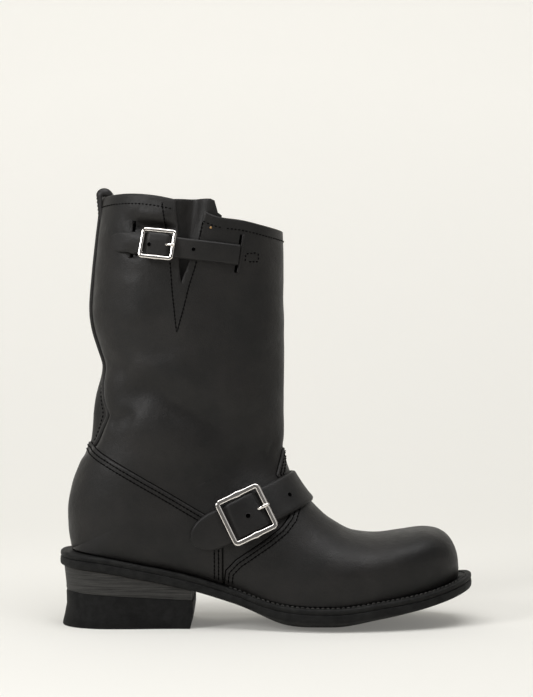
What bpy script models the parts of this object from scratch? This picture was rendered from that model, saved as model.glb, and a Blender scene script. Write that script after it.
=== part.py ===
"""Engineer boot for the right foot: pull-on shaft, two buckled straps, welted sole and block heel.

Metres, +Z up, +X towards the toe, -Y the outer side. The origin is the middle of the heel's tread.
"""
import math

import bmesh
import bpy
from mathutils import Vector
from mathutils.bvhtree import BVHTree

# Overall sizes
LENGTH = 0.300
REAR = 0.048
BALL_WIDTH = 0.104
INSTEP_HEIGHT = 0.117
COLLAR_FRONT = 0.2838
COLLAR_BACK = 0.3086
COLLAR_LIFT = 0.0055
WALL = 0.0022
GAP = 0.0004

# Sole
HEEL_SEAT = 0.0438
TOE_SPRING = 0.0265
BALL_CROWN = 0.0065
OUTSOLE_THICK = 0.0062
WELT_THICK = 0.0036
WELT_WIDTH = 0.0135
INSOLE_THICK = 0.0030
SHOW_HEEL = 0.0098
SHOW_TOE = 0.0112
SHOW_SIDE = 0.0062
TOE_SWING = 0.006
HEEL_END = 0.318
HEEL_INSET = 0.0028
HEEL_FLARE = 0.0016
LIFT_BACK = 0.0258
LIFT_FRONT = 0.0203

# Overlays and straps
OVERLAY = 0.0012
BULGE = 0.0016
SEAT_ROOM = 0.0010
INSOLE_ROOM = 0.0012
PIPING_WIDTH = 0.0044
PIPING_HIGH = 0.0022
GUSSET_THICK = 0.0012
STRAP_THICK = 0.0024
ANKLE_STRAP_WIDTH = 0.0260
COLLAR_STRAP_WIDTH = 0.0146
BUCKLE_DEPTH = 0.0024
ANKLE_BUCKLE_LONG = 0.0350
ANKLE_BUCKLE_BAR = 0.0036
COLLAR_BUCKLE_LONG = 0.0256
COLLAR_BUCKLE_BAR = 0.0027
STRAP_ROOM = 0.0011
STRAP_RISE = 0.0026
BAR_ROOM = 0.0008
STRAP_SEAT = 0.0006
STRAP_TIP = 0.7
ANKLE_TAIL = 0.0415
COLLAR_TAIL = 0.0346
COLLAR_END = 0.0405
FRAME_ROOM = 0.0009
PRONG_RADIUS = 0.0008
LOOP_WIDTH = 0.016
LOOP_THICK = 0.0026
LOOP_HIGH = 0.0062
LOOP_DROP = 0.016
LOOP_SEAT = 0.0004

# Grid
COLUMNS = 26
ROWS = 35
FOOT_ROWS = 20

# Half widths of the sole as shares of half the ball width, from the heel to the toe
OUTLINE = [
    # station, outer, inner
    (0.00, 0.700, 0.700),
    (0.15, 0.710, 0.700),
    (0.27, 0.680, 0.640),
    (0.38, 0.690, 0.565),
    (0.48, 0.790, 0.620),
    (0.58, 0.930, 0.800),
    (0.66, 1.000, 0.930),
    (0.74, 0.990, 1.000),
    (0.86, 0.930, 0.930),
    (1.00, 0.900, 0.880),
]
# Underside of the sole's edge, as shares of heel seat height, ball crown and toe spring
EDGE = [
    # station, seat, crown, spring
    (0.00, 1.000, 0.0, 0.00),
    (0.10, 0.940, 0.0, 0.00),
    (0.20, 0.815, 0.0, 0.00),
    (0.30, 0.672, 0.0, 0.00),
    (0.39, 0.497, 0.0, 0.00),
    (0.44, 0.375, 0.1, 0.00),
    (0.49, 0.190, 0.5, 0.00),
    (0.54, 0.048, 0.9, 0.00),
    (0.57, 0.012, 1.0, 0.00),
    (0.60, 0.000, 1.0, 0.00),
    (0.66, 0.000, 1.0, 0.00),
    (0.77, 0.000, 0.8, 0.20),
    (0.86, 0.000, 0.5, 0.43),
    (0.93, 0.000, 0.3, 0.67),
    (1.00, 0.000, 0.0, 1.00),
]
# Front line from toe tip to collar: height 0 to 1 is floor to instep, 1 to 2 is instep to collar
FRONT = [
    # forward, height
    (0.9627, 0.310),
    (0.9587, 0.417),
    (0.9417, 0.523),
    (0.9123, 0.569),
    (0.8880, 0.576),
    (0.8300, 0.557),
    (0.7710, 0.541),
    (0.7130, 0.557),
    (0.6547, 0.632),
    (0.6233, 0.700),
    (0.5740, 0.850),
    (0.5443, 1.000),
    (0.5413, 1.055),
    (0.5437, 1.190),
    (0.5437, 1.600),
    (0.5380, 2.000),
]
# Back line from the sole to the collar, in the same shares
BACK = [
    # forward, height
    (0.0327, 0.454),
    (0.0233, 0.603),
    (0.0220, 0.703),
    (0.0317, 0.854),
    (0.0607, 1.032),
    (0.0707, 1.093),
    (0.0803, 1.246),
    (0.0950, 1.368),
    (0.0877, 1.429),
    (0.0740, 1.566),
    (0.0827, 1.730),
    (0.0900, 1.844),
    (0.1023, 2.000),
]
# Each section runs from the sole's edge (low 1 toe to 0 heel) or back line (to -1) to the front line
FAN = [
    # low, front
    (1.000, 0.000),
    (0.985, 0.030),
    (0.960, 0.060),
    (0.925, 0.090),
    (0.870, 0.124),
    (0.800, 0.175),
    (0.735, 0.227),
    (0.665, 0.280),
    (0.585, 0.340),
    (0.485, 0.400),
    (0.395, 0.440),
    (0.280, 0.480),
    (0.180, 0.507),
    (0.090, 0.530),
    (0.000, 0.555),
    (-0.080, 0.575),
    (-0.170, 0.600),
    (-0.280, 0.630),
    (-0.400, 0.680),
    (-0.530, 0.760),
    (-0.680, 0.850),
    (-0.850, 0.930),
    (-1.000, 1.000),
]
# Width of the sections: own is 0 where it follows the sole, 1 where outer and inner hold
GIRTH = [
    # front, own, outer, inner, crest, round_top, round_low
    (0.000, 0.00, 0.900, 0.900, 0.45, 2.60, 2.2),
    (0.120, 0.00, 0.900, 0.900, 0.44, 2.55, 2.2),
    (0.227, 0.00, 0.900, 0.900, 0.40, 2.30, 2.2),
    (0.340, 0.20, 0.860, 0.800, 0.36, 2.05, 2.2),
    (0.440, 0.80, 0.770, 0.740, 0.34, 1.95, 2.2),
    (0.507, 1.00, 0.720, 0.710, 0.36, 1.90, 2.2),
    (0.560, 1.00, 0.710, 0.710, 0.42, 1.90, 2.1),
    (0.610, 1.00, 0.740, 0.735, 0.47, 1.95, 2.0),
    (0.680, 1.00, 0.790, 0.780, 0.50, 2.00, 2.0),
    (0.800, 1.00, 0.845, 0.840, 0.50, 2.05, 2.0),
    (1.000, 1.00, 0.880, 0.880, 0.50, 2.10, 2.0),
]
# Side-view outlines of the overlays: forward as a share of length, height as in FRONT
QUARTER = [
    (-0.100, 1.180),
    (0.052, 1.060),
    (0.190, 0.938),
    (0.350, 0.750),
    (0.416, 0.655),
    (0.424, 0.600),
    (0.438, 0.000),
    (-0.100, 0.000),
]
VAMP = [
    (0.450, 0.000),
    (0.452, 0.400),
    (0.475, 0.500),
    (0.525, 0.560),
    (0.575, 0.625),
    (0.592, 0.700),
    (0.560, 0.790),
    (0.527, 0.890),
    (0.531, 0.990),
    (0.543, 1.110),
    (0.640, 1.110),
    (1.100, 0.800),
    (1.100, 0.000),
]
# Slit of the collar on the outer side, and the gusset behind it
SLIT_BACK = 0.297
SLIT_FRONT = 0.368
SLIT_FOOT = 0.299
SLIT_DEPTH = 1.730
GUSSET_BACK = 0.262
GUSSET_FRONT = 0.455
GUSSET_FOOT = 0.298
GUSSET_DEPTH = 1.590
# Straps: a level line in the side view, as shares of length and heights as in FRONT
ANKLE_MIDDLE = (0.4507, 0.690)
ANKLE_SLOPE = 24.5
ANKLE_PIVOT = (0.430, 0.655)
COLLAR_MIDDLE = (0.248, 1.808)
COLLAR_SLOPE = -6.5
COLLAR_PIVOT = (0.300, 1.820)
CUT_ROOM = 0.08
FORM_REACH = 0.012


def clear_scene():
    for item in list(bpy.data.objects):
        bpy.data.objects.remove(item, do_unlink=True)


def read_table(table, column, at):
    """Smooth value of a table's column at a value of its first column, with no overshoot."""
    keys = [row[0] for row in table]
    values = [row[column] for row in table]
    if keys[0] > keys[-1]:
        keys = keys[::-1]
        values = values[::-1]
    if at <= keys[0]:
        return values[0]
    if at >= keys[-1]:
        return values[-1]
    slopes = [(values[i + 1] - values[i]) / (keys[i + 1] - keys[i]) for i in range(len(keys) - 1)]
    i = max(k for k in range(len(keys) - 1) if keys[k] <= at)

    def tangent(k):
        if k == 0:
            return slopes[0]
        if k == len(keys) - 1:
            return slopes[-1]
        if slopes[k - 1] * slopes[k] <= 0:
            return 0.0
        return 2.0 * slopes[k - 1] * slopes[k] / (slopes[k - 1] + slopes[k])

    span = keys[i + 1] - keys[i]
    t = (at - keys[i]) / span
    first = (2 * t ** 3 - 3 * t ** 2 + 1) * values[i] + (t ** 3 - 2 * t ** 2 + t) * span * tangent(i)
    second = (3 * t ** 2 - 2 * t ** 3) * values[i + 1] + (t ** 3 - t ** 2) * span * tangent(i + 1)
    return first + second


def forward(share):
    return share * LENGTH - REAR


def rise(share, top=COLLAR_BACK):
    if share <= 1.0:
        return share * INSTEP_HEIGHT
    return INSTEP_HEIGHT + (share - 1.0) * (top - INSTEP_HEIGHT)


def rounded(share):
    """Rounding of an outline at the heel and at the toe, 0 at its ends and 1 between."""
    heel = max(0.0, (0.13 - share) / 0.13)
    toe = max(0.0, (share - 0.76) / 0.24)
    return (max(0.0, 1.0 - heel ** 2.3)) ** (1 / 2.3) * (max(0.0, 1.0 - toe ** 2.25)) ** (1 / 2.25)


def middle(share):
    """Sideways swing of the sole's middle line towards the big toe."""
    t = min(1.0, max(0.0, (share - 0.45) / 0.55))
    return TOE_SWING * t * t * (3 - 2 * t)


def outline(share, side, inset=(0.0, 0.0, 0.0)):
    """Point of the sole's outline: side -1 outer, 1 inner; inset at heel, side and toe."""
    back, edge, tip = inset
    x = forward(0.0) + back + share * (LENGTH - back - tip)
    column = 1 if side < 0 else 2
    half = BALL_WIDTH / 2 * read_table(OUTLINE, column, share) - edge
    return x, middle(share) + side * half * rounded(share)


def edge_height(x):
    """Underside of the sole at its edge, at a place along the boot."""
    share = (x + REAR) / LENGTH
    seat = read_table(EDGE, 1, share) * HEEL_SEAT
    crown = read_table(EDGE, 2, share) * BALL_CROWN
    return seat + crown + read_table(EDGE, 3, share) * TOE_SPRING


def crown(x):
    return read_table(EDGE, 2, (x + REAR) / LENGTH) * BALL_CROWN


def seat_height(x):
    """Top of the welt, on which the upper stands."""
    return edge_height(x) + OUTSOLE_THICK + WELT_THICK + 2 * GAP + SEAT_ROOM


class Mesh:
    """Collects points, merging those that fall together, and faces."""

    def __init__(self):
        self.points = []
        self.faces = []
        self.known = {}

    def point(self, place):
        key = tuple(round(value * 1e7) for value in place)
        if key not in self.known:
            self.known[key] = len(self.points)
            self.points.append(tuple(place))
        return self.known[key]

    def face(self, corners):
        ring = []
        for corner in corners:
            if not ring or corner != ring[-1]:
                ring.append(corner)
        if len(ring) > 1 and ring[0] == ring[-1]:
            ring.pop()
        if len(set(ring)) == len(ring) and len(ring) > 2:
            self.faces.append(ring)

    def build(self, name, smooth=True):
        data = bpy.data.meshes.new(name)
        data.from_pydata(self.points, [], self.faces)
        work = bmesh.new()
        work.from_mesh(data)
        bmesh.ops.recalc_face_normals(work, faces=work.faces)
        work.to_mesh(data)
        work.free()
        if smooth:
            data.shade_smooth()
            data.set_sharp_from_angle(angle=math.radians(40))
        thing = bpy.data.objects.new(name, data)
        bpy.context.scene.collection.objects.link(thing)
        return thing


def finish_of(name, colour, roughness, metallic=0.0):
    finish = bpy.data.materials.get(name) or bpy.data.materials.new(name)
    finish.use_nodes = True
    shader = finish.node_tree.nodes["Principled BSDF"]
    shader.inputs["Base Color"].default_value = (*colour, 1.0)
    shader.inputs["Roughness"].default_value = roughness
    shader.inputs["Metallic"].default_value = metallic
    finish.diffuse_color = (*colour, 1.0)
    return finish


def dress(thing, name, colour, roughness, metallic=0.0):
    thing.data.materials.clear()
    thing.data.materials.append(finish_of(name, colour, roughness, metallic))
    return thing


def leather(thing):
    return dress(thing, "%s_leather" % thing.name, (0.018, 0.018, 0.019), 0.55)


def rubber(thing):
    return dress(thing, "%s_rubber" % thing.name, (0.022, 0.022, 0.023), 0.75)


def steel(thing):
    return dress(thing, "%s_steel" % thing.name, (0.72, 0.71, 0.69), 0.16, 1.0)


def hide(thing):
    thing.hide_render = True
    thing.display_type = "WIRE"
    return thing


def cut(thing, tool, operation):
    step = thing.modifiers.new("cut_%d" % len(thing.modifiers), "BOOLEAN")
    step.operation = operation
    step.solver = "EXACT"
    step.object = tool
    return thing


def slab(name, stations, top, bottom, inset_top, inset_bottom, across):
    """Plate under the foot, between two heights given as functions of (x, share across)."""
    mesh = Mesh()
    levels = []
    for level, inset in ((bottom, inset_bottom), (top, inset_top)):
        rows = []
        for share in stations:
            x, outer = outline(share, -1, inset)
            inner = outline(share, 1, inset)[1]
            row = []
            for u in across:
                y = outer + (inner - outer) * (u + 1) / 2
                row.append(mesh.point((x, y, level(x, u))))
            rows.append(row)
        levels.append(rows)
    low, high = levels
    last = len(across) - 1
    for i in range(len(stations) - 1):
        for j in range(last):
            mesh.face([low[i][j], low[i][j + 1], low[i + 1][j + 1], low[i + 1][j]])
            mesh.face([high[i][j], high[i + 1][j], high[i + 1][j + 1], high[i][j + 1]])
        for j in (0, last):
            mesh.face([low[i][j], low[i + 1][j], high[i + 1][j], high[i][j]])
    for i in (0, len(stations) - 1):
        for j in range(last):
            mesh.face([low[i][j], low[i][j + 1], high[i][j + 1], high[i][j]])
    return mesh.build(name)


def spread(first, last, count, ease_first=True, ease_last=True):
    """Stations from first to last, closer together at the rounded ends."""
    found = []
    for i in range(count + 1):
        t = i / count
        if ease_first and ease_last:
            t = (1 - math.cos(math.pi * t)) / 2
        elif ease_first:
            t = 1 - math.cos(math.pi / 2 * t)
        elif ease_last:
            t = math.sin(math.pi / 2 * t)
        found.append(first + (last - first) * t)
    return found


ACROSS = (-1.0, -0.82, -0.42, 0.0, 0.42, 0.82, 1.0)


def tread_share(u):
    """How much of the crown the tread has at a share across: flat in the middle, none at the edge."""
    flat = 0.42
    t = max(0.0, (abs(u) - flat) / (1 - flat))
    return 1 - t * t


def sole_stations():
    """Stations of outsole and welt, with both ends of the flat spot under the ball."""
    waist = [0.34, 0.375, 0.41, 0.44, 0.465, 0.49, 0.515, 0.54, 0.57, 0.60, 0.63]
    return spread(0.0, 0.30, 9, True, False) + waist + spread(0.66, 1.0, 13, False, True)


def build_outsole():
    def bottom(x, u):
        return edge_height(x) - crown(x) * tread_share(u)

    def top(x, u):
        return edge_height(x) + OUTSOLE_THICK

    level = (0.0, 0.0, 0.0)
    return rubber(slab("outsole", sole_stations(), top, bottom, level, level, ACROSS))


def welt_inset(depth):
    return (depth, depth, depth)


def build_welt():
    """Band all round between outsole and upper, open in the middle."""
    mesh = Mesh()
    stations = sole_stations()
    loop = [(s, -1) for s in stations] + [(s, 1) for s in reversed(stations[1:-1])]
    rings = []
    for share, side in loop:
        ring = []
        for depth, high in ((0.0003, 0), (0.0006, 1), (WELT_WIDTH, 1), (WELT_WIDTH, 0)):
            x, y = outline(share, side, welt_inset(depth))
            z = edge_height(x) + OUTSOLE_THICK + GAP + high * WELT_THICK
            ring.append(mesh.point((x, y, z)))
        rings.append(ring)
    for i, ring in enumerate(rings):
        after = rings[(i + 1) % len(rings)]
        for j in range(4):
            k = (j + 1) % 4
            mesh.face([ring[j], ring[k], after[k], after[j]])
    return rubber(mesh.build("welt"))


def build_insole():
    side = WELT_WIDTH + INSOLE_ROOM
    inset = (max(side, SHOW_HEEL + WALL + INSOLE_ROOM), side, max(side, SHOW_TOE + WALL + INSOLE_ROOM))

    def bottom(x, u):
        return edge_height(x) + OUTSOLE_THICK + GAP + SEAT_ROOM

    def top(x, u):
        return seat_height(x) + INSOLE_THICK

    stations = spread(0.0, 1.0, 24)
    return leather(slab("insole", stations, top, bottom, inset, inset, (-1.0, 0.0, 1.0)))


def build_heel():
    """Stacked leather under the outsole, and the rubber top piece that meets the floor."""
    stations = spread(0.0, HEEL_END, 14, True, False)
    start = forward(0.0)
    end = forward(HEEL_END)

    def joint(x, u):
        return LIFT_BACK + (LIFT_FRONT - LIFT_BACK) * (x - start) / (end - start)

    def seat(x, u):
        return edge_height(x) - GAP

    def below(x, u):
        return joint(x, u) - GAP

    def floor(x, u):
        return 0.0

    across = (-1.0, -0.5, 0.0, 0.5, 1.0)
    high = (HEEL_INSET, HEEL_INSET, HEEL_INSET)
    waist = HEEL_INSET + HEEL_FLARE
    mid = (waist, waist, waist)
    low = (HEEL_INSET - HEEL_FLARE, waist, HEEL_INSET)
    stack = slab("heel_stack", stations, seat, joint, high, mid, across)
    dress(stack, "heel_stack_leather", (0.10, 0.10, 0.10), 0.7)
    rubber(slab("heel_lift", stations, below, floor, mid, low, across))


def walk(table, top):
    """Side-view points of a line with their share of the way along it."""
    places = []
    for share, height in table:
        places.append((forward(share), rise(height, top)))
    gone = [0.0]
    for a, b in zip(places, places[1:]):
        gone.append(gone[-1] + math.dist(a, b))
    return [(g / gone[-1], x, z) for g, (x, z) in zip(gone, places)]


FRONT_LINE = walk(FRONT, COLLAR_FRONT)
BACK_LINE = walk(BACK, COLLAR_BACK)
UPPER_INSET = (SHOW_HEEL, SHOW_SIDE, SHOW_TOE)


def section(low):
    """One section of the upper: its points from the outer low end over the front to the inner one."""
    share = read_table(FAN, 1, low)
    front = Vector((read_table(FRONT_LINE, 1, share), 0.0, read_table(FRONT_LINE, 2, share)))
    own = read_table(GIRTH, 1, share)
    crest = read_table(GIRTH, 4, share)
    top_power = read_table(GIRTH, 5, share)
    low_power = read_table(GIRTH, 6, share)
    foot = low >= 0.0
    if foot:
        x, outer = outline(low, -1, UPPER_INSET)
        inner = outline(low, 1, UPPER_INSET)[1]
        shift = middle(low)
        base = Vector((x, 0.0, seat_height(x)))
        feet = (shift - outer, inner - shift)
    else:
        x = read_table(BACK_LINE, 1, -low)
        base = Vector((x, 0.0, read_table(BACK_LINE, 2, -low)))
        shift = 0.0
        feet = (0.0, 0.0)
    lift = COLLAR_LIFT * max(0.0, (share - 0.6) / 0.4) ** 2
    points = []
    for j in range(COLUMNS + 1):
        side = 0 if j <= COLUMNS // 2 else 1
        q = 1 - abs(j - COLUMNS / 2) / (COLUMNS / 2)
        free = BALL_WIDTH / 2 * read_table(GIRTH, 2 + side, share)
        wide = (feet[side] + BULGE * rounded(max(0.0, low))) * (1 - own) + free * own
        if q < 0.5:
            turn = q * math.pi
            u = crest * (1 - math.cos(turn) ** (2 / low_power))
            closing = 1 - (feet[side] / wide) ** low_power if wide > 1e-6 else 1.0
            half = wide * max(0.0, 1 - closing * math.cos(turn) ** 2) ** (1 / low_power)
        else:
            turn = (q - 0.5) * math.pi
            u = crest + (1 - crest) * math.sin(turn) ** (2 / top_power)
            half = wide * max(0.0, math.cos(turn)) ** (2 / top_power)
        if j in (0, COLUMNS):
            half = feet[side]
        if j == COLUMNS // 2:
            half = 0.0
        place = base.lerp(front, u)
        swell = 6.75 * u * (1 - u) ** 2
        points.append(Vector((place.x, shift + (-half if side == 0 else half), place.z + lift * swell)))
    return points, foot


class Form:
    """The upper's skin as a grid, which any wall, overlay or strap takes its shape from."""

    def __init__(self):
        shares = self.row_shares()
        self.rows = []
        self.foot = []
        for share in shares:
            points, foot = section(share)
            self.rows.append(points)
            self.foot.append(foot)
        self.normals = self.find_normals()

    def row_shares(self):
        """Sections from the toe to the heel's back, closer together at both, and on to the collar."""
        shaft_rows = ROWS - FOOT_ROWS
        foot = spread(1.0, 0.0, FOOT_ROWS)
        shaft = [-((i / shaft_rows) ** 1.12) for i in range(1, shaft_rows + 1)]
        return foot + shaft

    def find_normals(self):
        mesh = Mesh()
        index = [[mesh.point(p) for p in row] for row in self.rows]
        self.skin_faces(mesh, index)
        work = bmesh.new()
        verts = [work.verts.new(p) for p in mesh.points]
        for ring in mesh.faces:
            work.faces.new([verts[k] for k in ring])
        bmesh.ops.recalc_face_normals(work, faces=work.faces)
        work.normal_update()
        found = [v.normal.copy() for v in verts]
        probe = index[ROWS - 2][COLUMNS // 2]
        sign = 1.0 if found[probe].x > 0 else -1.0
        work.free()
        grid = []
        for i, row in enumerate(index):
            line = []
            for j, k in enumerate(row):
                normal = found[k] * sign
                rim = i == len(index) - 1 or (self.foot[i] and j in (0, COLUMNS))
                if rim:
                    normal = Vector((normal.x, normal.y, 0.0)).normalized()
                if i > 0 and j == COLUMNS // 2 or (not self.foot[i] and j in (0, COLUMNS)):
                    normal = Vector((normal.x, 0.0, normal.z)).normalized()
                line.append(normal)
            grid.append(line)
        return grid

    def skin_faces(self, mesh, index, flip=False):
        for i in range(len(index) - 1):
            for j in range(COLUMNS):
                a, b, c, d = index[i][j], index[i][j + 1], index[i + 1][j + 1], index[i + 1][j]
                for ring in ([a, b, c], [a, c, d]):
                    mesh.face(ring[::-1] if flip else ring)

    def skin(self, offset):
        return [
            [p + n * offset for p, n in zip(points, normals)]
            for points, normals in zip(self.rows, self.normals)
        ]

    def solid(self, name, offset, reach=0.0, start=0):
        """Closed body of the skin moved out by offset, lengthened by reach at collar and sole.

        With a start row past the heel it holds the shaft alone.
        """
        mesh = Mesh()
        rows = self.skin(offset)[start:]
        index = [[mesh.point(p) for p in row] for row in rows]
        self.skin_faces(mesh, index)
        low = []
        for i, row in enumerate(rows):
            if self.foot[i + start]:
                ends = (row[0], row[-1])
                low.append([mesh.point(p - Vector((0, 0, reach))) for p in ends] + [index[i][0], index[i][-1]])
        for a, b in zip(low, low[1:]):
            mesh.face([a[0], a[1], b[1], b[0]])
            if reach:
                mesh.face([a[0], b[0], b[2], a[2]])
                mesh.face([a[1], a[3], b[3], b[1]])
        if reach and low:
            mesh.face([low[0][0], low[0][2], low[0][3], low[0][1]])
        top = [mesh.point(p + Vector((0, 0, reach))) for p in rows[-1]]
        if reach:
            for j in range(COLUMNS):
                mesh.face([index[-1][j], index[-1][j + 1], top[j + 1], top[j]])
        caps = [top] if low else [top, index[0]]
        for ring in caps:
            for j in range(COLUMNS // 2):
                mesh.face([ring[j], ring[j + 1], ring[COLUMNS - j - 1], ring[COLUMNS - j]])
        return mesh.build(name)

    def hollow(self, name, wall):
        """The upper itself: outer skin, inner skin, and the rims at the collar and at the sole."""
        mesh = Mesh()
        outer_rows = self.skin(0.0)
        inner_rows = self.skin(-wall)
        outer = [[mesh.point(p) for p in row] for row in outer_rows]
        inner = [[mesh.point(p) for p in row] for row in inner_rows]
        self.skin_faces(mesh, outer)
        self.skin_faces(mesh, inner, flip=True)
        for j in range(COLUMNS):
            mesh.face([outer[-1][j], outer[-1][j + 1], inner[-1][j + 1], inner[-1][j]])
        for i in range(len(outer) - 1):
            if self.foot[i + 1]:
                for j in (0, COLUMNS):
                    mesh.face([outer[i][j], outer[i + 1][j], inner[i + 1][j], inner[i][j]])
        return mesh.build(name)


def prism(name, outline_points, side_low, side_high, top=COLLAR_BACK):
    """Cutter: a side-view outline carried across the boot."""
    mesh = Mesh()
    near = []
    far = []
    for share, height in outline_points:
        x = forward(share)
        z = rise(height, top) if height > 0 else -CUT_ROOM
        near.append(mesh.point((x, side_low, z)))
        far.append(mesh.point((x, side_high, z)))
    count = len(near)
    mesh.face(near)
    mesh.face(far[::-1])
    for i in range(count):
        k = (i + 1) % count
        mesh.face([near[i], far[i], far[k], near[k]])
    return hide(mesh.build(name, smooth=False))


def shell(form, name, low, high, region, start=0):
    """Layer on the upper between two larger forms, cut to a region."""
    thing = form.solid(name, high, start=start)
    inside = hide(form.solid("%s_inside" % name, low, FORM_REACH, start))
    cut(thing, inside, "DIFFERENCE")
    cut(thing, region, "INTERSECT")
    return leather(thing)


def build_upper(form):
    upper = leather(form.hollow("upper", WALL))
    slit = [(SLIT_BACK, 2.2), (SLIT_FRONT, 2.2), (SLIT_FOOT, SLIT_DEPTH)]
    cut(upper, prism("slit_cut", slit, -CUT_ROOM, 0.0), "DIFFERENCE")
    region = [(GUSSET_BACK, 1.985), (GUSSET_FRONT, 1.940), (GUSSET_FOOT, GUSSET_DEPTH)]
    wedge = prism("gusset_cut", region, -CUT_ROOM, -0.006)
    shell(form, "gusset", -WALL - GAP - GUSSET_THICK, -WALL - GAP, wedge, FOOT_ROWS + 4)
    return upper


def build_overlays(form):
    quarter_cut = prism("quarter_cut", QUARTER, -CUT_ROOM, CUT_ROOM)
    shell(form, "quarter", GAP, GAP + OVERLAY, quarter_cut)
    vamp_cut = prism("vamp_cut", VAMP, -CUT_ROOM, CUT_ROOM)
    shell(form, "vamp", GAP, GAP + OVERLAY, vamp_cut)
    below_loop = 2.0 - (LOOP_DROP + LOOP_THICK) / (COLLAR_BACK - INSTEP_HEIGHT)
    piping = [(-0.1, 1.105), (0.235, 1.00), (0.235, below_loop), (-0.1, below_loop)]
    piping_cut = prism("piping_cut", piping, -PIPING_WIDTH / 2, PIPING_WIDTH / 2)
    shell(form, "back_piping", GAP, GAP + PIPING_HIGH, piping_cut)


class Wrap:
    """Places points on the upper around a strap's line, by rays from a pivot inside the boot."""

    def __init__(self, form, pivot, middle_at, slope, name):
        guide = hide(form.solid(name, 0.0, reach=FORM_REACH))
        self.tree = BVHTree.FromPolygons(
            [v.co.copy() for v in guide.data.vertices], [list(p.vertices) for p in guide.data.polygons]
        )
        bpy.data.objects.remove(guide, do_unlink=True)
        tilt = math.radians(slope)
        self.along = Vector((math.cos(tilt), 0.0, math.sin(tilt)))
        self.across = Vector((-math.sin(tilt), 0.0, math.cos(tilt)))
        self.pivot = Vector((forward(pivot[0]), 0.0, rise(pivot[1])))
        centre = Vector((forward(middle_at[0]), 0.0, rise(middle_at[1])))
        self.pivot += self.across * (centre - self.pivot).dot(self.across)
        self.reach = (centre - self.pivot).dot(self.along)
        self.angle = self.find_angle(self.reach)

    def find_angle(self, reach):
        """Turn at which the surface on the outer side lies at a reach along the strap."""
        low = -75.0
        high = 75.0
        for _ in range(40):
            half = (low + high) / 2
            if (self.touch(half, 0.0)[0] - self.pivot).dot(self.along) < reach:
                low = half
            else:
                high = half
        return low

    def ray(self, angle):
        turn = math.radians(angle)
        return self.along * math.sin(turn) - Vector((0, 1, 0)) * math.cos(turn)

    def touch(self, angle, shift):
        way = self.ray(angle)
        origin = self.pivot + self.across * shift
        place, normal = self.tree.ray_cast(origin, way)[:2]
        if normal.dot(way) < 0:
            normal = -normal
        return place, normal

    def strap(self, name, angles, width, base, core, edge):
        """Strip around the upper, with a rounded tip and a hump over the buckle's bar."""
        mesh = Mesh()
        rings = []
        middle_place = self.touch(self.angle, 0.0)[0]
        tip = self.touch(angles[0], 0.0)[0]
        for angle in angles:
            t = min(1.0, (self.touch(angle, 0.0)[0] - tip).length / (STRAP_TIP * width))
            half = width / 2 * max(0.02, 1 - (1 - t) ** 2.0) ** 0.5
            away = (self.touch(angle, 0.0)[0] - middle_place).length
            hump = 0.5 + 0.5 * math.cos(math.pi * min(1.0, max(0.0, (away - core) / (edge - core))))
            lift = base + STRAP_RISE * hump
            low = []
            high = []
            for c in (-1.0, -0.35, 0.35, 1.0):
                place, normal = self.touch(angle, half * c)
                low.append(mesh.point(place + normal * lift))
                high.append(mesh.point(place + normal * (lift + STRAP_THICK)))
            rings.append(low + high[::-1])
        count = len(rings[0])
        for a, b in zip(rings, rings[1:]):
            for j in range(count):
                k = (j + 1) % count
                mesh.face([a[j], a[k], b[k], b[j]])
        half = count // 2
        for ring in (rings[0], rings[-1]):
            for j in range(half - 1):
                mesh.face([ring[j], ring[j + 1], ring[count - 2 - j], ring[count - 1 - j]])
        return leather(mesh.build(name))

    def frame_at(self, angle):
        place, normal = self.touch(angle, 0.0)
        side = self.across - normal * self.across.dot(normal)
        side.normalize()
        along = side.cross(normal)
        if along.dot(self.along) < 0:
            along = -along
        return place, along, side, normal


def tube(name, points, radius, sides=8):
    mesh = Mesh()
    rings = []
    for i, place in enumerate(points):
        before = points[max(0, i - 1)]
        after = points[min(len(points) - 1, i + 1)]
        way = (after - before).normalized()
        up = Vector((0, 1, 0)).cross(way)
        if up.length < 0.2:
            up = Vector((1, 0, 0)).cross(way)
        up.normalize()
        other = way.cross(up)
        ring = []
        for j in range(sides):
            turn = 2 * math.pi * (j + 0.5) / sides
            ring.append(mesh.point(place + up * radius * math.cos(turn) + other * radius * math.sin(turn)))
        rings.append(ring)
    for a, b in zip(rings, rings[1:]):
        for j in range(sides):
            k = (j + 1) % sides
            mesh.face([a[j], a[k], b[k], b[j]])
    mesh.face(rings[0][::-1])
    mesh.face(rings[-1])
    return mesh.build(name)


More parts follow.
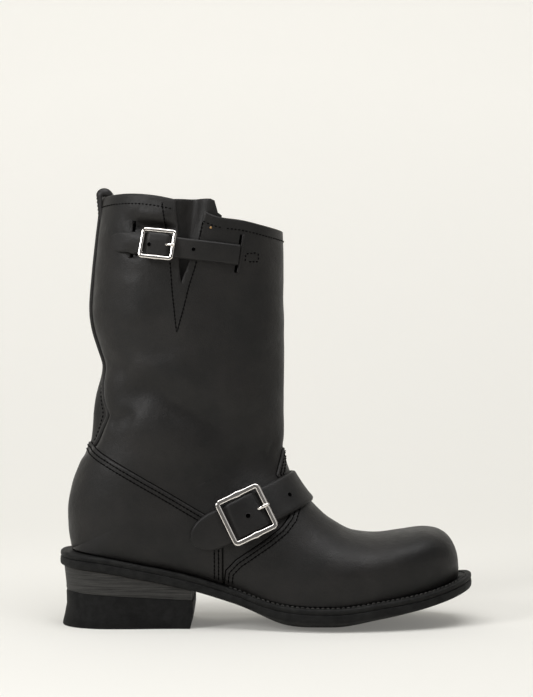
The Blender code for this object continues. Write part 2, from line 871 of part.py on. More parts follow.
def buckle(wrap, name, long, high, bar, base):
    """Cast frame with rounded corners over the strap, its middle bar below it, and the prong."""
    place, along, side, normal = wrap.frame_at(wrap.angle)
    over = base + STRAP_THICK + FRAME_ROOM
    bend = 1.4 * bar

    def at(a, c, h):
        return place + along * a + side * c + normal * h

    loop = []
    for quadrant in range(4):
        for step in range(4):
            turn = math.pi / 2 * (quadrant + step / 3)
            sign_a = 1 if quadrant in (0, 3) else -1
            sign_c = 1 if quadrant in (0, 1) else -1
            loop.append((sign_a * (long / 2 - bend), sign_c * (high / 2 - bend), turn))
    mesh = Mesh()
    rings = []
    for a, c, turn in loop:
        ring = []
        for depth, h in ((0.0, 0.25), (0.25, 0.0), (0.8, 0.0), (1.0, 0.3), (0.8, 1.0), (0.2, 1.0)):
            reach = bend - depth * bar
            spot = (a + reach * math.cos(turn), c + reach * math.sin(turn))
            ring.append(mesh.point(at(spot[0], spot[1], over + h * BUCKLE_DEPTH)))
        rings.append(ring)
    for i, ring in enumerate(rings):
        after = rings[(i + 1) % len(rings)]
        for j in range(6):
            k = (j + 1) % 6
            mesh.face([ring[j], ring[k], after[k], after[j]])
    frame = steel(mesh.build(name))
    inner = high / 2 - bar
    radius = 0.0009
    low = base + radius + GAP / 3
    path = [at(0, -inner - bar * 0.5, over + BUCKLE_DEPTH * 0.5)]
    for share in (-1.0, -0.5, 0.0, 0.5, 1.0):
        spot, up = wrap.touch(wrap.angle, share * (inner - radius))
        path.append(spot + up * (base + radius + GAP / 3))
    path.append(at(0, inner + bar * 0.5, over + BUCKLE_DEPTH * 0.5))
    cut(frame, hide(tube("%s_bar" % name, path, radius)), "UNION")
    hole = long / 2 - bar - 0.0042
    rest = over + BUCKLE_DEPTH + GAP + PRONG_RADIUS
    prong_path = [
        at(radius + PRONG_RADIUS + GAP, 0, low),
        at(hole - 0.0020, 0, low),
        at(hole + 0.0004, 0, base + STRAP_RISE * 0.8 + STRAP_THICK),
        at(long / 2 - bar * 0.9, 0, rest),
        at(long / 2 - bar * 0.1, 0, rest),
    ]
    steel(tube("%s_prong" % name, prong_path, PRONG_RADIUS))
    hole_path = [at(hole - 0.0012, 0, base - 0.002), at(hole - 0.0004, 0, over + 0.006)]
    return hide(tube("%s_hole" % name, hole_path, PRONG_RADIUS * 2.8))


def build_ankle(form):
    wrap = Wrap(form, ANKLE_PIVOT, ANKLE_MIDDLE, ANKLE_SLOPE, "ankle_guide")
    base = 2 * GAP + OVERLAY + STRAP_SEAT
    tail = wrap.find_angle(wrap.reach - ANKLE_TAIL)
    tail_angles = [tail + 12.0 * (i / 6) ** 1.6 for i in range(7)]
    angles = tail_angles + [tail + 12.0 + (i + 1) * 5.5 for i in range(43)]
    long = ANKLE_BUCKLE_LONG
    edge = long / 2 - ANKLE_BUCKLE_BAR - BAR_ROOM
    strap = wrap.strap("ankle_strap", angles, ANKLE_STRAP_WIDTH, base, edge * 0.4, edge)
    high = ANKLE_STRAP_WIDTH + 2 * STRAP_ROOM + 2 * ANKLE_BUCKLE_BAR
    hole = buckle(wrap, "ankle_buckle", long, high, ANKLE_BUCKLE_BAR, base)
    cut(strap, hole, "DIFFERENCE")


def build_collar_strap(form):
    wrap = Wrap(form, COLLAR_PIVOT, COLLAR_MIDDLE, COLLAR_SLOPE, "collar_guide")
    base = GAP + STRAP_SEAT / 2
    tail = wrap.find_angle(wrap.reach - COLLAR_TAIL)
    end = wrap.find_angle(COLLAR_END)
    tail_angles = [tail + 8.0 * (i / 5) ** 1.6 for i in range(6)]
    angles = tail_angles + [tail + 8.0 + (end - tail - 8.0) * (i + 1) / 31 for i in range(31)]
    long = COLLAR_BUCKLE_LONG
    edge = long / 2 - COLLAR_BUCKLE_BAR - BAR_ROOM
    strap = wrap.strap("collar_strap", angles, COLLAR_STRAP_WIDTH, base, edge * 0.4, edge)
    high = COLLAR_STRAP_WIDTH + 2 * STRAP_ROOM + 2 * COLLAR_BUCKLE_BAR
    hole = buckle(wrap, "collar_buckle", long, high, COLLAR_BUCKLE_BAR, base)
    cut(strap, hole, "DIFFERENCE")


def build_pull_loop(form):
    """Leather loop over the back of the collar, from the outside over the edge to the inside."""
    rim = form.rows[-1]
    below = form.rows[-3]
    lean = (rim[0].x - below[0].x) / (rim[0].z - below[0].z)

    def back_at(y):
        """The collar's back edge at a place across, from the skin's own points."""
        for a, b in zip(rim, rim[1:]):
            if abs(a.y) <= y <= abs(b.y):
                return a.x + (b.x - a.x) * (y - abs(a.y)) / (abs(b.y) - abs(a.y))
        return rim[0].x

    shares = (-1.0, -0.5, 0.0, 0.5, 1.0)
    arch = (WALL + 4 * GAP) / 2
    turns = [math.pi * i / 8 for i in range(9)]
    path = [(0.0, -LOOP_DROP)] + [(turn, 0.0) for turn in turns] + [(math.pi, -LOOP_DROP * 0.75)]
    mesh = Mesh()
    rings = []
    for turn, drop in path:
        inner = []
        outer = []
        for share in shares:
            y = share * LOOP_WIDTH / 2
            x = back_at(abs(y)) + WALL / 2 - arch * math.cos(turn) + drop * lean
            z = rim[0].z + LOOP_SEAT + drop + LOOP_HIGH * math.sin(turn)
            inner.append(mesh.point((x, y, z)))
            thick = Vector((-math.cos(turn), 0.0, math.sin(turn))) * LOOP_THICK
            outer.append(mesh.point(Vector((x, y, z)) + thick))
        rings.append(inner + outer[::-1])
    count = len(rings[0])
    for a, b in zip(rings, rings[1:]):
        for j in range(count):
            k = (j + 1) % count
            mesh.face([a[j], a[k], b[k], b[j]])
    for ring in (rings[0], rings[-1]):
        for j in range(len(shares) - 1):
            mesh.face([ring[j], ring[j + 1], ring[count - 2 - j], ring[count - 1 - j]])
    return leather(mesh.build("pull_loop"))


def main():
    clear_scene()
    build_outsole()
    build_welt()
    build_heel()
    build_insole()
    form = Form()
    build_upper(form)
    build_overlays(form)
    build_ankle(form)
    build_collar_strap(form)
    build_pull_loop(form)


main()
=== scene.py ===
"""Engineer boot for the right foot: its look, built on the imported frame.

Metres, +Z up, +X towards the toe, -Y the outer side.
"""
import math
import random

import bmesh
import bpy
import numpy as np
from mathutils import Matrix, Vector
from mathutils import noise
from mathutils.bvhtree import BVHTree


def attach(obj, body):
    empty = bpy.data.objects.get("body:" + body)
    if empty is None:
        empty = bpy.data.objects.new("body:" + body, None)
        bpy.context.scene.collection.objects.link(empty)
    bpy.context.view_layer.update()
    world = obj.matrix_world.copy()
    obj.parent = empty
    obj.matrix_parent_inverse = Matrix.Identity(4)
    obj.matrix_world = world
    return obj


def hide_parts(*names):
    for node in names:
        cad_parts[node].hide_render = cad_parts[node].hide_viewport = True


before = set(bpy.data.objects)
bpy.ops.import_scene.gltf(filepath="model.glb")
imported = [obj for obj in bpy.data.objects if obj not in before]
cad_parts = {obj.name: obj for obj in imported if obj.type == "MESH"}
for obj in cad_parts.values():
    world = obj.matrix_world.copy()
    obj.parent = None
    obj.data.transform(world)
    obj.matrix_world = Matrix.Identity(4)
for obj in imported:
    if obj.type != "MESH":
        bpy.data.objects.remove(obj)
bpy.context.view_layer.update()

# Overall sizes
LENGTH = 0.300
REAR = 0.048
BALL_WIDTH = 0.104
INSTEP_HEIGHT = 0.117
COLLAR_FRONT = 0.2838
COLLAR_BACK = 0.3086
COLLAR_LIFT = 0.0055
WALL = 0.0022
GAP = 0.0004

# Sole
HEEL_SEAT = 0.0438
TOE_SPRING = 0.0265
BALL_CROWN = 0.0065
OUTSOLE_THICK = 0.0062
WELT_THICK = 0.0036
WELT_WIDTH = 0.0135
INSOLE_THICK = 0.0030
SHOW_HEEL = 0.0098
SHOW_TOE = 0.0112
SHOW_SIDE = 0.0062
TOE_SWING = 0.006
HEEL_END = 0.318
HEEL_INSET = 0.0028
HEEL_FLARE = 0.0016
LIFT_BACK = 0.0258
LIFT_FRONT = 0.0203
SEAT_ROOM = 0.0010
BULGE = 0.0016

# Overlays and straps
OVERLAY = 0.0012
STRAP_THICK = 0.0024
STRAP_SEAT = 0.0006
STRAP_TIP = 0.7
ANKLE_TAIL = 0.0415
COLLAR_TAIL = 0.0346
COLLAR_END = 0.0405
STRAP_ROOM = 0.0011
STRAP_RISE = 0.0026
BAR_ROOM = 0.0008
FRAME_ROOM = 0.0009
ANKLE_STRAP_WIDTH = 0.0260
COLLAR_STRAP_WIDTH = 0.0146
BUCKLE_DEPTH = 0.0024
LOOP_WIDTH = 0.016
LOOP_THICK = 0.0058
LOOP_HIGH = 0.0008
LOOP_DROP = 0.016
LOOP_SEAT = 0.0004

# Grid of the upper
COLUMNS = 152
FOOT_ROWS = 126
SHAFT_ROWS = 124

# Half widths of the sole as shares of half the ball width, from the heel to the toe
OUTLINE = [
    # station, outer, inner
    (0.00, 0.700, 0.700),
    (0.15, 0.710, 0.700),
    (0.27, 0.680, 0.640),
    (0.38, 0.690, 0.565),
    (0.48, 0.790, 0.620),
    (0.58, 0.930, 0.800),
    (0.66, 1.000, 0.930),
    (0.74, 0.990, 1.000),
    (0.86, 0.930, 0.930),
    (1.00, 0.900, 0.880),
]
# Underside of the sole's edge, as shares of heel seat height, ball crown and toe spring
EDGE = [
    # station, seat, crown, spring
    (0.00, 1.000, 0.0, 0.00),
    (0.10, 0.940, 0.0, 0.00),
    (0.20, 0.815, 0.0, 0.00),
    (0.30, 0.672, 0.0, 0.00),
    (0.39, 0.497, 0.0, 0.00),
    (0.44, 0.375, 0.1, 0.00),
    (0.49, 0.190, 0.5, 0.00),
    (0.54, 0.048, 0.9, 0.00),
    (0.57, 0.012, 1.0, 0.00),
    (0.60, 0.000, 1.0, 0.00),
    (0.66, 0.000, 1.0, 0.00),
    (0.77, 0.000, 0.8, 0.20),
    (0.86, 0.000, 0.5, 0.43),
    (0.93, 0.000, 0.3, 0.67),
    (1.00, 0.000, 0.0, 1.00),
]
# Front line from toe tip to collar: height 0 to 1 is floor to instep, 1 to 2 is instep to collar
FRONT = [
    # forward, height
    (0.9627, 0.310),
    (0.9587, 0.417),
    (0.9417, 0.523),
    (0.9123, 0.569),
    (0.8880, 0.576),
    (0.8300, 0.557),
    (0.7710, 0.541),
    (0.7130, 0.557),
    (0.6547, 0.632),
    (0.6233, 0.700),
    (0.5740, 0.850),
    (0.5443, 1.000),
    (0.5413, 1.055),
    (0.5437, 1.190),
    (0.5437, 1.600),
    (0.5380, 2.000),
]
# Back line from the sole to the collar, in the same shares
BACK = [
    # forward, height
    (0.0327, 0.454),
    (0.0233, 0.603),
    (0.0220, 0.703),
    (0.0317, 0.854),
    (0.0607, 1.032),
    (0.0707, 1.093),
    (0.0803, 1.246),
    (0.0950, 1.368),
    (0.0877, 1.429),
    (0.0740, 1.566),
    (0.0827, 1.730),
    (0.0900, 1.844),
    (0.1023, 2.000),
]
# Each section runs from the sole's edge (low 1 toe to 0 heel) or back line (to -1) to the front line
FAN = [
    # low, front
    (1.000, 0.000),
    (0.985, 0.030),
    (0.960, 0.060),
    (0.925, 0.090),
    (0.870, 0.124),
    (0.800, 0.175),
    (0.735, 0.227),
    (0.665, 0.280),
    (0.585, 0.340),
    (0.485, 0.400),
    (0.395, 0.440),
    (0.280, 0.480),
    (0.180, 0.507),
    (0.090, 0.530),
    (0.000, 0.555),
    (-0.080, 0.575),
    (-0.170, 0.600),
    (-0.280, 0.630),
    (-0.400, 0.680),
    (-0.530, 0.760),
    (-0.680, 0.850),
    (-0.850, 0.930),
    (-1.000, 1.000),
]
# Width of the sections: own is 0 where it follows the sole, 1 where outer and inner hold
GIRTH = [
    # front, own, outer, inner, crest, round_top, round_low
    (0.000, 0.00, 0.900, 0.900, 0.45, 2.60, 2.2),
    (0.120, 0.00, 0.900, 0.900, 0.44, 2.55, 2.2),
    (0.227, 0.00, 0.900, 0.900, 0.40, 2.30, 2.2),
    (0.340, 0.20, 0.860, 0.800, 0.36, 2.05, 2.2),
    (0.440, 0.80, 0.770, 0.740, 0.34, 1.95, 2.2),
    (0.507, 1.00, 0.720, 0.710, 0.36, 1.90, 2.2),
    (0.560, 1.00, 0.710, 0.710, 0.42, 1.90, 2.1),
    (0.610, 1.00, 0.740, 0.735, 0.47, 1.95, 2.0),
    (0.680, 1.00, 0.790, 0.780, 0.50, 2.00, 2.0),
    (0.800, 1.00, 0.845, 0.840, 0.50, 2.05, 2.0),
    (1.000, 1.00, 0.880, 0.880, 0.50, 2.10, 2.0),
]
UPPER_INSET = (SHOW_HEEL, SHOW_SIDE, SHOW_TOE)
# Overlays as side-view outlines
QUARTER = [
    (-0.060, 0.1510),
    (-0.0251, 0.1305),
    (-0.0159, 0.1241),
    (0.0054, 0.1124),
    (0.0266, 0.1004),
    (0.0535, 0.0844),
    (0.0648, 0.0781),
    (0.0698, 0.0717),
    (0.0708, 0.0597),
    (0.0708, 0.0370),
    (0.0720, 0.0000),
    (-0.080, 0.0000),
]
VAMP = [
    (0.0715, 0.0000),
    (0.0727, 0.0359),
    (0.0734, 0.0422),
    (0.0804, 0.0497),
    (0.0918, 0.0574),
    (0.1031, 0.0649),
    (0.1122, 0.0719),
    (0.1179, 0.0790),
    (0.1207, 0.0868),
    (0.1193, 0.0938),
    (0.1151, 0.1009),
    (0.1089, 0.1085),
    (0.1118, 0.1187),
    (0.1147, 0.1310),
    (0.1180, 0.1390),
    (0.2000, 0.1390),
    (0.3000, 0.0900),
    (0.3000, 0.0000),
]
# Opening of the collar on the outer side, and the gusset behind it
SLIT = [
    (0.0348, 0.3391),
    (0.0373, 0.3046),
    (0.0394, 0.2842),
    (0.0401, 0.2603),
    (0.0412, 0.2427),
    (0.0482, 0.2603),
    (0.0552, 0.2758),
    (0.0588, 0.2962),
    (0.0609, 0.3391),
]
GUSSET = [
    (0.0270, 0.3300), (0.0760, 0.3300), (0.0700, 0.2800), (0.0480, 0.2320), (0.0400, 0.2250),
    (0.0320, 0.2500),
]
# Top line of the gusset, forward and up
GUSSET_TOP = [(0.030, 0.3048), (0.0625, 0.3046), (0.0655, 0.3034), (0.0672, 0.3000), (0.0680, 0.2950), (0.076, 0.290)]
# Soft troughs (depth over 0) and ridges (under 0) in the leather, in the side view
CREASES = [
    # side, depth, width, points
    (-1, 0.0042, 0.0115, [
        (-0.0080, 0.1605), (0.0025, 0.1661), (0.0166, 0.1689), (0.0292, 0.1668), (0.0447, 0.1577),
        (0.0658, 0.1443), (0.0834, 0.1309),
    ]),
    (-1, -0.0016, 0.0120, [(-0.0010, 0.1802), (0.0166, 0.1830), (0.0356, 0.1788), (0.0552, 0.1661)]),
    (-1, -0.0020, 0.0150, [(0.0004, 0.1492), (0.0201, 0.1436), (0.0412, 0.1295), (0.0588, 0.1155)]),
    (-1, 0.0034, 0.0150, [(0.0880, 0.1160)]),
    (-1, 0.0013, 0.0070, [(-0.0158, 0.1885), (-0.0058, 0.1863), (0.0063, 0.1814)]),
    (-1, 0.0020, 0.0060, [(-0.0136, 0.1479), (-0.0023, 0.1493), (0.0091, 0.1543)]),
    (-1, 0.0060, 0.0040, [(0.0067, 0.2902), (0.0130, 0.2856), (0.0257, 0.2846), (0.0384, 0.2828)]),
    (-1, -0.0026, 0.0060, [(0.0088, 0.2983), (0.0201, 0.2941), (0.0341, 0.2920)]),
    (-1, 0.0026, 0.0024, [(0.0025, 0.2688), (0.0067, 0.2670), (0.0123, 0.2652)]),
    (-1, 0.0014, 0.0100, [(0.0988, 0.2055), (0.1016, 0.1830), (0.0988, 0.1633)]),
    (-1, 0.0012, 0.0160, [(0.0271, 0.2406), (0.0299, 0.2125), (0.0356, 0.1900)]),
    (-1, -0.0012, 0.0130, [(0.0658, 0.1774), (0.0777, 0.1647), (0.0876, 0.1492)]),
    (-1, -0.0010, 0.0100, [(0.0060, 0.2125), (0.0088, 0.2336), (0.0074, 0.2547)]),
    (1, 0.0040, 0.0080, [
        (-0.0179, 0.1605), (0.0063, 0.1590), (0.0365, 0.1484), (0.0683, 0.1333), (0.0986, 0.1212),
    ]),
    (1, -0.0020, 0.0130, [(-0.0119, 0.1787), (0.0138, 0.1772), (0.0441, 0.1666), (0.0744, 0.1515)]),
    (1, 0.0030, 0.0060, [(-0.0251, 0.1863), (-0.0145, 0.1833), (0.0028, 0.1848)]),
    (1, 0.0036, 0.0055, [(-0.0266, 0.1418), (-0.0145, 0.1395), (0.0066, 0.1335), (0.0254, 0.1245)]),
    (1, -0.0018, 0.0080, [(-0.0281, 0.1531), (-0.0145, 0.1516), (0.0028, 0.1456)]),
    (1, 0.0046, 0.0080, [(0.0759, 0.1107), (0.0910, 0.1062), (0.1062, 0.1047)]),
    (1, 0.0018, 0.0140, [(0.0782, 0.2438), (0.0729, 0.2135), (0.0630, 0.1893)]),
    (1, 0.0014, 0.0060, [(0.0820, 0.0813), (0.0956, 0.0866), (0.1092, 0.0926)]),
    (0, 0.0014, 0.0060, [(0.1031, 0.1282), (0.1147, 0.1246)]),
]
# Seam up the back: height, place across, and how deep the leather folds in along it
BACK_SEAM = [
    # height, across, fold
    (0.1180, -0.0020, 0.0000),
    (0.1300, -0.0090, 0.0050),
    (0.1420, -0.0110, 0.0080),
    (0.1520, -0.0130, 0.0105),
    (0.1640, -0.0090, 0.0075),
    (0.1760, -0.0070, 0.0050),
    (0.1900, -0.0060, 0.0036),
    (0.2100, -0.0040, 0.0016),
    (0.2400, -0.0030, 0.0008),
    (0.3100, -0.0010, 0.0000),
]
V_BACK = [(0.0285, 0.3025), (0.0313, 0.2814), (0.0341, 0.2603), (0.0356, 0.2406), (0.0386, 0.2112)]
V_FRONT = [
    (0.0573, 0.2885), (0.0538, 0.2716), (0.0524, 0.2596), (0.0475, 0.2434), (0.0438, 0.2285),
    (0.0390, 0.2110),
]
SLOT = [(0.0843, 0.2799), (0.0825, 0.2678), (0.0801, 0.2530)]
SLOT_REAR = [(0.0086, 0.2898), (0.0076, 0.2770), (0.0064, 0.2638)]
SLOT_BOX = [(0.0875, 0.2665), (0.0960, 0.2676), (0.0963, 0.2612), (0.0868, 0.2608)]
STUD = [(0.0629, 0.2844)]
# Straps: a level line in the side view, as shares of length and heights as in FRONT
ANKLE_MIDDLE = (0.4507, 0.690)
ANKLE_SLOPE = 24.5
ANKLE_PIVOT = (0.430, 0.655)
ANKLE_BUCKLE_LONG = 0.0350
ANKLE_BUCKLE_BAR = 0.0036
COLLAR_MIDDLE = (0.248, 1.808)
COLLAR_SLOPE = -6.5
COLLAR_PIVOT = (0.300, 1.820)
COLLAR_BUCKLE_LONG = 0.0256
COLLAR_BUCKLE_BAR = 0.0027

# Light
STAGE_COLOUR = (0.62, 0.610, 0.578)
STAGE_GLOW = (0.18, 0.65)
STAGE_GLOW_COLOUR = (0.86, 0.842, 0.792)
STAGE_MIDDLE = (0.10, -0.30, 0.0)
WORLD_STRENGTH = 0.14


def read_table(table, column, at):
    """Smooth value of a table's column at a value of its first column, with no overshoot."""
    keys = [row[0] for row in table]
    values = [row[column] for row in table]
    if keys[0] > keys[-1]:
        keys = keys[::-1]
        values = values[::-1]
    if at <= keys[0]:
        return values[0]
    if at >= keys[-1]:
        return values[-1]
    slopes = [(values[i + 1] - values[i]) / (keys[i + 1] - keys[i]) for i in range(len(keys) - 1)]
    i = max(k for k in range(len(keys) - 1) if keys[k] <= at)

    def tangent(k):
        if k == 0:
            return slopes[0]
        if k == len(keys) - 1:
            return slopes[-1]
        if slopes[k - 1] * slopes[k] <= 0:
            return 0.0
        return 2.0 * slopes[k - 1] * slopes[k] / (slopes[k - 1] + slopes[k])

    span = keys[i + 1] - keys[i]
    t = (at - keys[i]) / span
    first = (2 * t ** 3 - 3 * t ** 2 + 1) * values[i] + (t ** 3 - 2 * t ** 2 + t) * span * tangent(i)
    second = (3 * t ** 2 - 2 * t ** 3) * values[i + 1] + (t ** 3 - t ** 2) * span * tangent(i + 1)
    return first + second


def forward(share):
    return share * LENGTH - REAR


def rise(share, top=COLLAR_BACK):
    if share <= 1.0:
        return share * INSTEP_HEIGHT
    return INSTEP_HEIGHT + (share - 1.0) * (top - INSTEP_HEIGHT)


def rounded(share):
    """Rounding of an outline at the heel and at the toe, 0 at its ends and 1 between."""
    heel = max(0.0, (0.13 - share) / 0.13)
    toe = max(0.0, (share - 0.76) / 0.24)
    return (max(0.0, 1.0 - heel ** 2.3)) ** (1 / 2.3) * (max(0.0, 1.0 - toe ** 2.25)) ** (1 / 2.25)


def middle(share):
    """Sideways swing of the sole's middle line towards the big toe."""
    t = min(1.0, max(0.0, (share - 0.45) / 0.55))
    return TOE_SWING * t * t * (3 - 2 * t)


def outline(share, side, inset=(0.0, 0.0, 0.0)):
    """Point of the sole's outline: side -1 outer, 1 inner; inset at heel, side and toe."""
    back, edge, tip = inset
    x = forward(0.0) + back + share * (LENGTH - back - tip)
    column = 1 if side < 0 else 2
    half = BALL_WIDTH / 2 * read_table(OUTLINE, column, share) - edge
    return x, middle(share) + side * half * rounded(share)


def edge_height(x):
    """Underside of the sole at its edge, at a place along the boot."""
    share = (x + REAR) / LENGTH
    seat = read_table(EDGE, 1, share) * HEEL_SEAT
    crown = read_table(EDGE, 2, share) * BALL_CROWN
    return seat + crown + read_table(EDGE, 3, share) * TOE_SPRING


def crown(x):
    return read_table(EDGE, 2, (x + REAR) / LENGTH) * BALL_CROWN


def seat_height(x):
    """Top of the welt, on which the upper stands."""
    return edge_height(x) + OUTSOLE_THICK + WELT_THICK + 2 * GAP + SEAT_ROOM




def section(low, columns):
    """One section of the upper: its points from the outer low end over the front to the inner one."""
    share = read_table(FAN, 1, low)
    front = Vector((read_table(FRONT_LINE, 1, share), 0.0, read_table(FRONT_LINE, 2, share)))
    own = read_table(GIRTH, 1, share)
    crest = read_table(GIRTH, 4, share)
    top_power = read_table(GIRTH, 5, share)
    low_power = read_table(GIRTH, 6, share)
    if low >= 0.0:
        x, outer = outline(low, -1, UPPER_INSET)
        inner = outline(low, 1, UPPER_INSET)[1]
        shift = middle(low)
        base = Vector((x, 0.0, seat_height(x)))
        feet = (shift - outer, inner - shift)
    else:
        base = Vector((read_table(BACK_LINE, 1, -low), 0.0, read_table(BACK_LINE, 2, -low)))
        shift = 0.0
        feet = (0.0, 0.0)
    lift = COLLAR_LIFT * max(0.0, (share - 0.6) / 0.4) ** 2
    points = []
    for j in range(columns + 1):
        side = 0 if j <= columns // 2 else 1
        q = 1 - abs(j - columns / 2) / (columns / 2)
        free = BALL_WIDTH / 2 * read_table(GIRTH, 2 + side, share)
        wide = (feet[side] + BULGE * rounded(max(0.0, low))) * (1 - own) + free * own
        if q < 0.5:
            turn = q * math.pi
            u = crest * (1 - math.cos(turn) ** (2 / low_power))
            closing = 1 - (feet[side] / wide) ** low_power if wide > 1e-6 else 1.0
            half = wide * max(0.0, 1 - closing * math.cos(turn) ** 2) ** (1 / low_power)
        else:
            turn = (q - 0.5) * math.pi
            u = crest + (1 - crest) * math.sin(turn) ** (2 / top_power)
            half = wide * max(0.0, math.cos(turn)) ** (2 / top_power)
        if j in (0, columns):
            half = feet[side]
        if j == columns // 2:
            half = 0.0
        place = base.lerp(front, u)
        swell = 6.75 * u * (1 - u) ** 2
        points.append((place.x, shift + (-half if side == 0 else half), place.z + lift * swell))
    return points


def walk(table, top):
    """Side-view points of a line with their share of the way along it."""
    places = [(forward(share), rise(height, top)) for share, height in table]
    gone = [0.0]
    for a, b in zip(places, places[1:]):
        gone.append(gone[-1] + math.dist(a, b))
    return [(g / gone[-1], x, z) for g, (x, z) in zip(gone, places)]


FRONT_LINE = walk(FRONT, COLLAR_FRONT)
BACK_LINE = walk(BACK, COLLAR_BACK)


def smooth_line(points, step=0.0015):
    """Closely spaced points of a smooth line through the given ones."""
    known = [np.array(p, float) for p in points]
    ends = [2 * known[0] - known[1]] + known + [2 * known[-1] - known[-2]]
    found = []
    for a, b, c, d in zip(ends, ends[1:], ends[2:], ends[3:]):
        count = max(1, int(np.linalg.norm(c - b) / step))
        for i in range(count):
            t = i / count
            found.append(
                0.5 * (2 * b + (c - a) * t + (2 * a - 5 * b + 4 * c - d) * t * t
                       + (3 * b - a - 3 * c + d) * t ** 3)
            )
    found.append(known[-1])
    return np.array(found)


def line_distance(places, line):
    """Distance of side-view places from a line, the way to it, and the share along the line."""
    best = np.full(len(places), 1e9)
    way = np.zeros((len(places), 2))
    along = np.zeros(len(places))
    steps = np.linalg.norm(np.diff(line, axis=0), axis=1)
    gone = np.concatenate([[0.0], np.cumsum(steps)])
    for k in range(len(line) - 1):
        a = line[k]
        ab = line[k + 1] - a
        size = max(1e-12, ab @ ab)
        t = np.clip((places - a) @ ab / size, 0, 1)
        gap = places - a - t[:, None] * ab
        dist = np.hypot(gap[:, 0], gap[:, 1])
        closer = dist < best
        best = np.where(closer, dist, best)
        way[closer] = gap[closer]
        along = np.where(closer, (gone[k] + t * steps[k]) / gone[-1], along)
    return best, way, along


def within(places, ring):
    """Whether side-view places lie inside a closed ring."""
    inside = np.zeros(len(places), bool)
    for a, b in zip(ring, np.roll(ring, -1, axis=0)):
        crosses = (a[1] > places[:, 1]) != (b[1] > places[:, 1])
        slope = (b[0] - a[0]) / (b[1] - a[1] if abs(b[1] - a[1]) > 1e-12 else 1e-12)
        inside ^= crosses & (places[:, 0] < a[0] + slope * (places[:, 1] - a[1]))
    return inside


def ease(values, low, high):
    t = np.clip((values - low) / (high - low), 0, 1)
    return t * t * (3 - 2 * t)


def region_depth(points, normals, ring):
    """How deep each point lies inside a side-view ring, measured along the leather itself."""
    ring = np.array(ring, float)
    places = points[:, [0, 2]]
    dist, way, along = line_distance(places, np.vstack([ring, ring[:1]]))
    size = np.maximum(dist, 1e-9)
    facing = (normals[:, 0] * way[:, 0] + normals[:, 2] * way[:, 1]) / size
    stretch = np.sqrt(np.maximum(0.12, 1 - facing ** 2))
    return np.where(within(places, ring), dist, -dist) / stretch


# Columns of the skin's table: place, normal and the named distances
PLACE = slice(0, 3)
NORMAL = slice(3, 6)
FIELDS = {"quarter": 6, "vamp": 7, "slit": 8, "hem": 9, "gusset": 10}


def face_normals(points, faces):
    """Vertex normals of a mesh given as quads and triangles."""
    quads = np.array([f if len(f) == 4 else [*f, f[-1]] for f in faces])
    across = np.cross(points[quads[:, 2]] - points[quads[:, 0]], points[quads[:, 3]] - points[quads[:, 1]])
    flat = np.array([len(f) == 3 for f in faces])
    a = points[quads[:, 1]] - points[quads[:, 0]]
    b = points[quads[:, 2]] - points[quads[:, 0]]
    across[flat] = np.cross(a, b)[flat]
    found = np.zeros_like(points)
    for k in range(4):
        np.add.at(found, quads[:, k], across)
    size = np.linalg.norm(found, axis=1)
    return found / np.maximum(size, 1e-15)[:, None]


def crease_relief(points):
    """How far the leather moves out of its plain form: listed creases and a soft unevenness."""
    places = points[:, [0, 2]]
    outer = ease(-points[:, 1], 0.002, 0.016)
    inner = ease(points[:, 1], 0.002, 0.016)
    relief = np.zeros(len(points))
    for side, depth, width, line in CREASES:
        if len(line) == 1:
            dist = np.hypot(places[:, 0] - line[0][0], places[:, 1] - line[0][1])
            ends = 1.0
        else:
            dist, way, along = line_distance(places, smooth_line(line, 0.003))
            ends = ease(along, 0.0, 0.22) * ease(1 - along, 0.0, 0.22) * 0.75 + 0.25
            ends = np.where((along <= 0) | (along >= 1), 0.25, ends)
        weight = {-1: outer, 1: inner, 0: 1.0}[side]
        relief -= depth * np.exp(-(dist / width) ** 2) * ends * weight
    for k, point in enumerate(points):
        shaft = min(1.0, max(0.0, (point[2] - 0.11) / 0.06))
        broad = noise.noise(Vector(point) * 22.0)
        small = noise.noise(Vector(point) * 70.0 + Vector((5.0, 1.0, 2.0)))
        relief[k] += broad * (0.0003 + 0.0009 * shaft) + small * (0.00008 + 0.00022 * shaft)
    return relief


def seam_valley(points):
    """Depth of the fold that the back seam lies in."""
    heights = [row[0] for row in BACK_SEAM]
    across = np.interp(points[:, 2], heights, [row[1] for row in BACK_SEAM])
    fold = np.interp(points[:, 2], heights, [row[2] for row in BACK_SEAM])
    behind = ease(0.030 - points[:, 0], 0.0, 0.030)
    return fold * np.exp(-((points[:, 1] - across) / 0.0085) ** 2) * behind


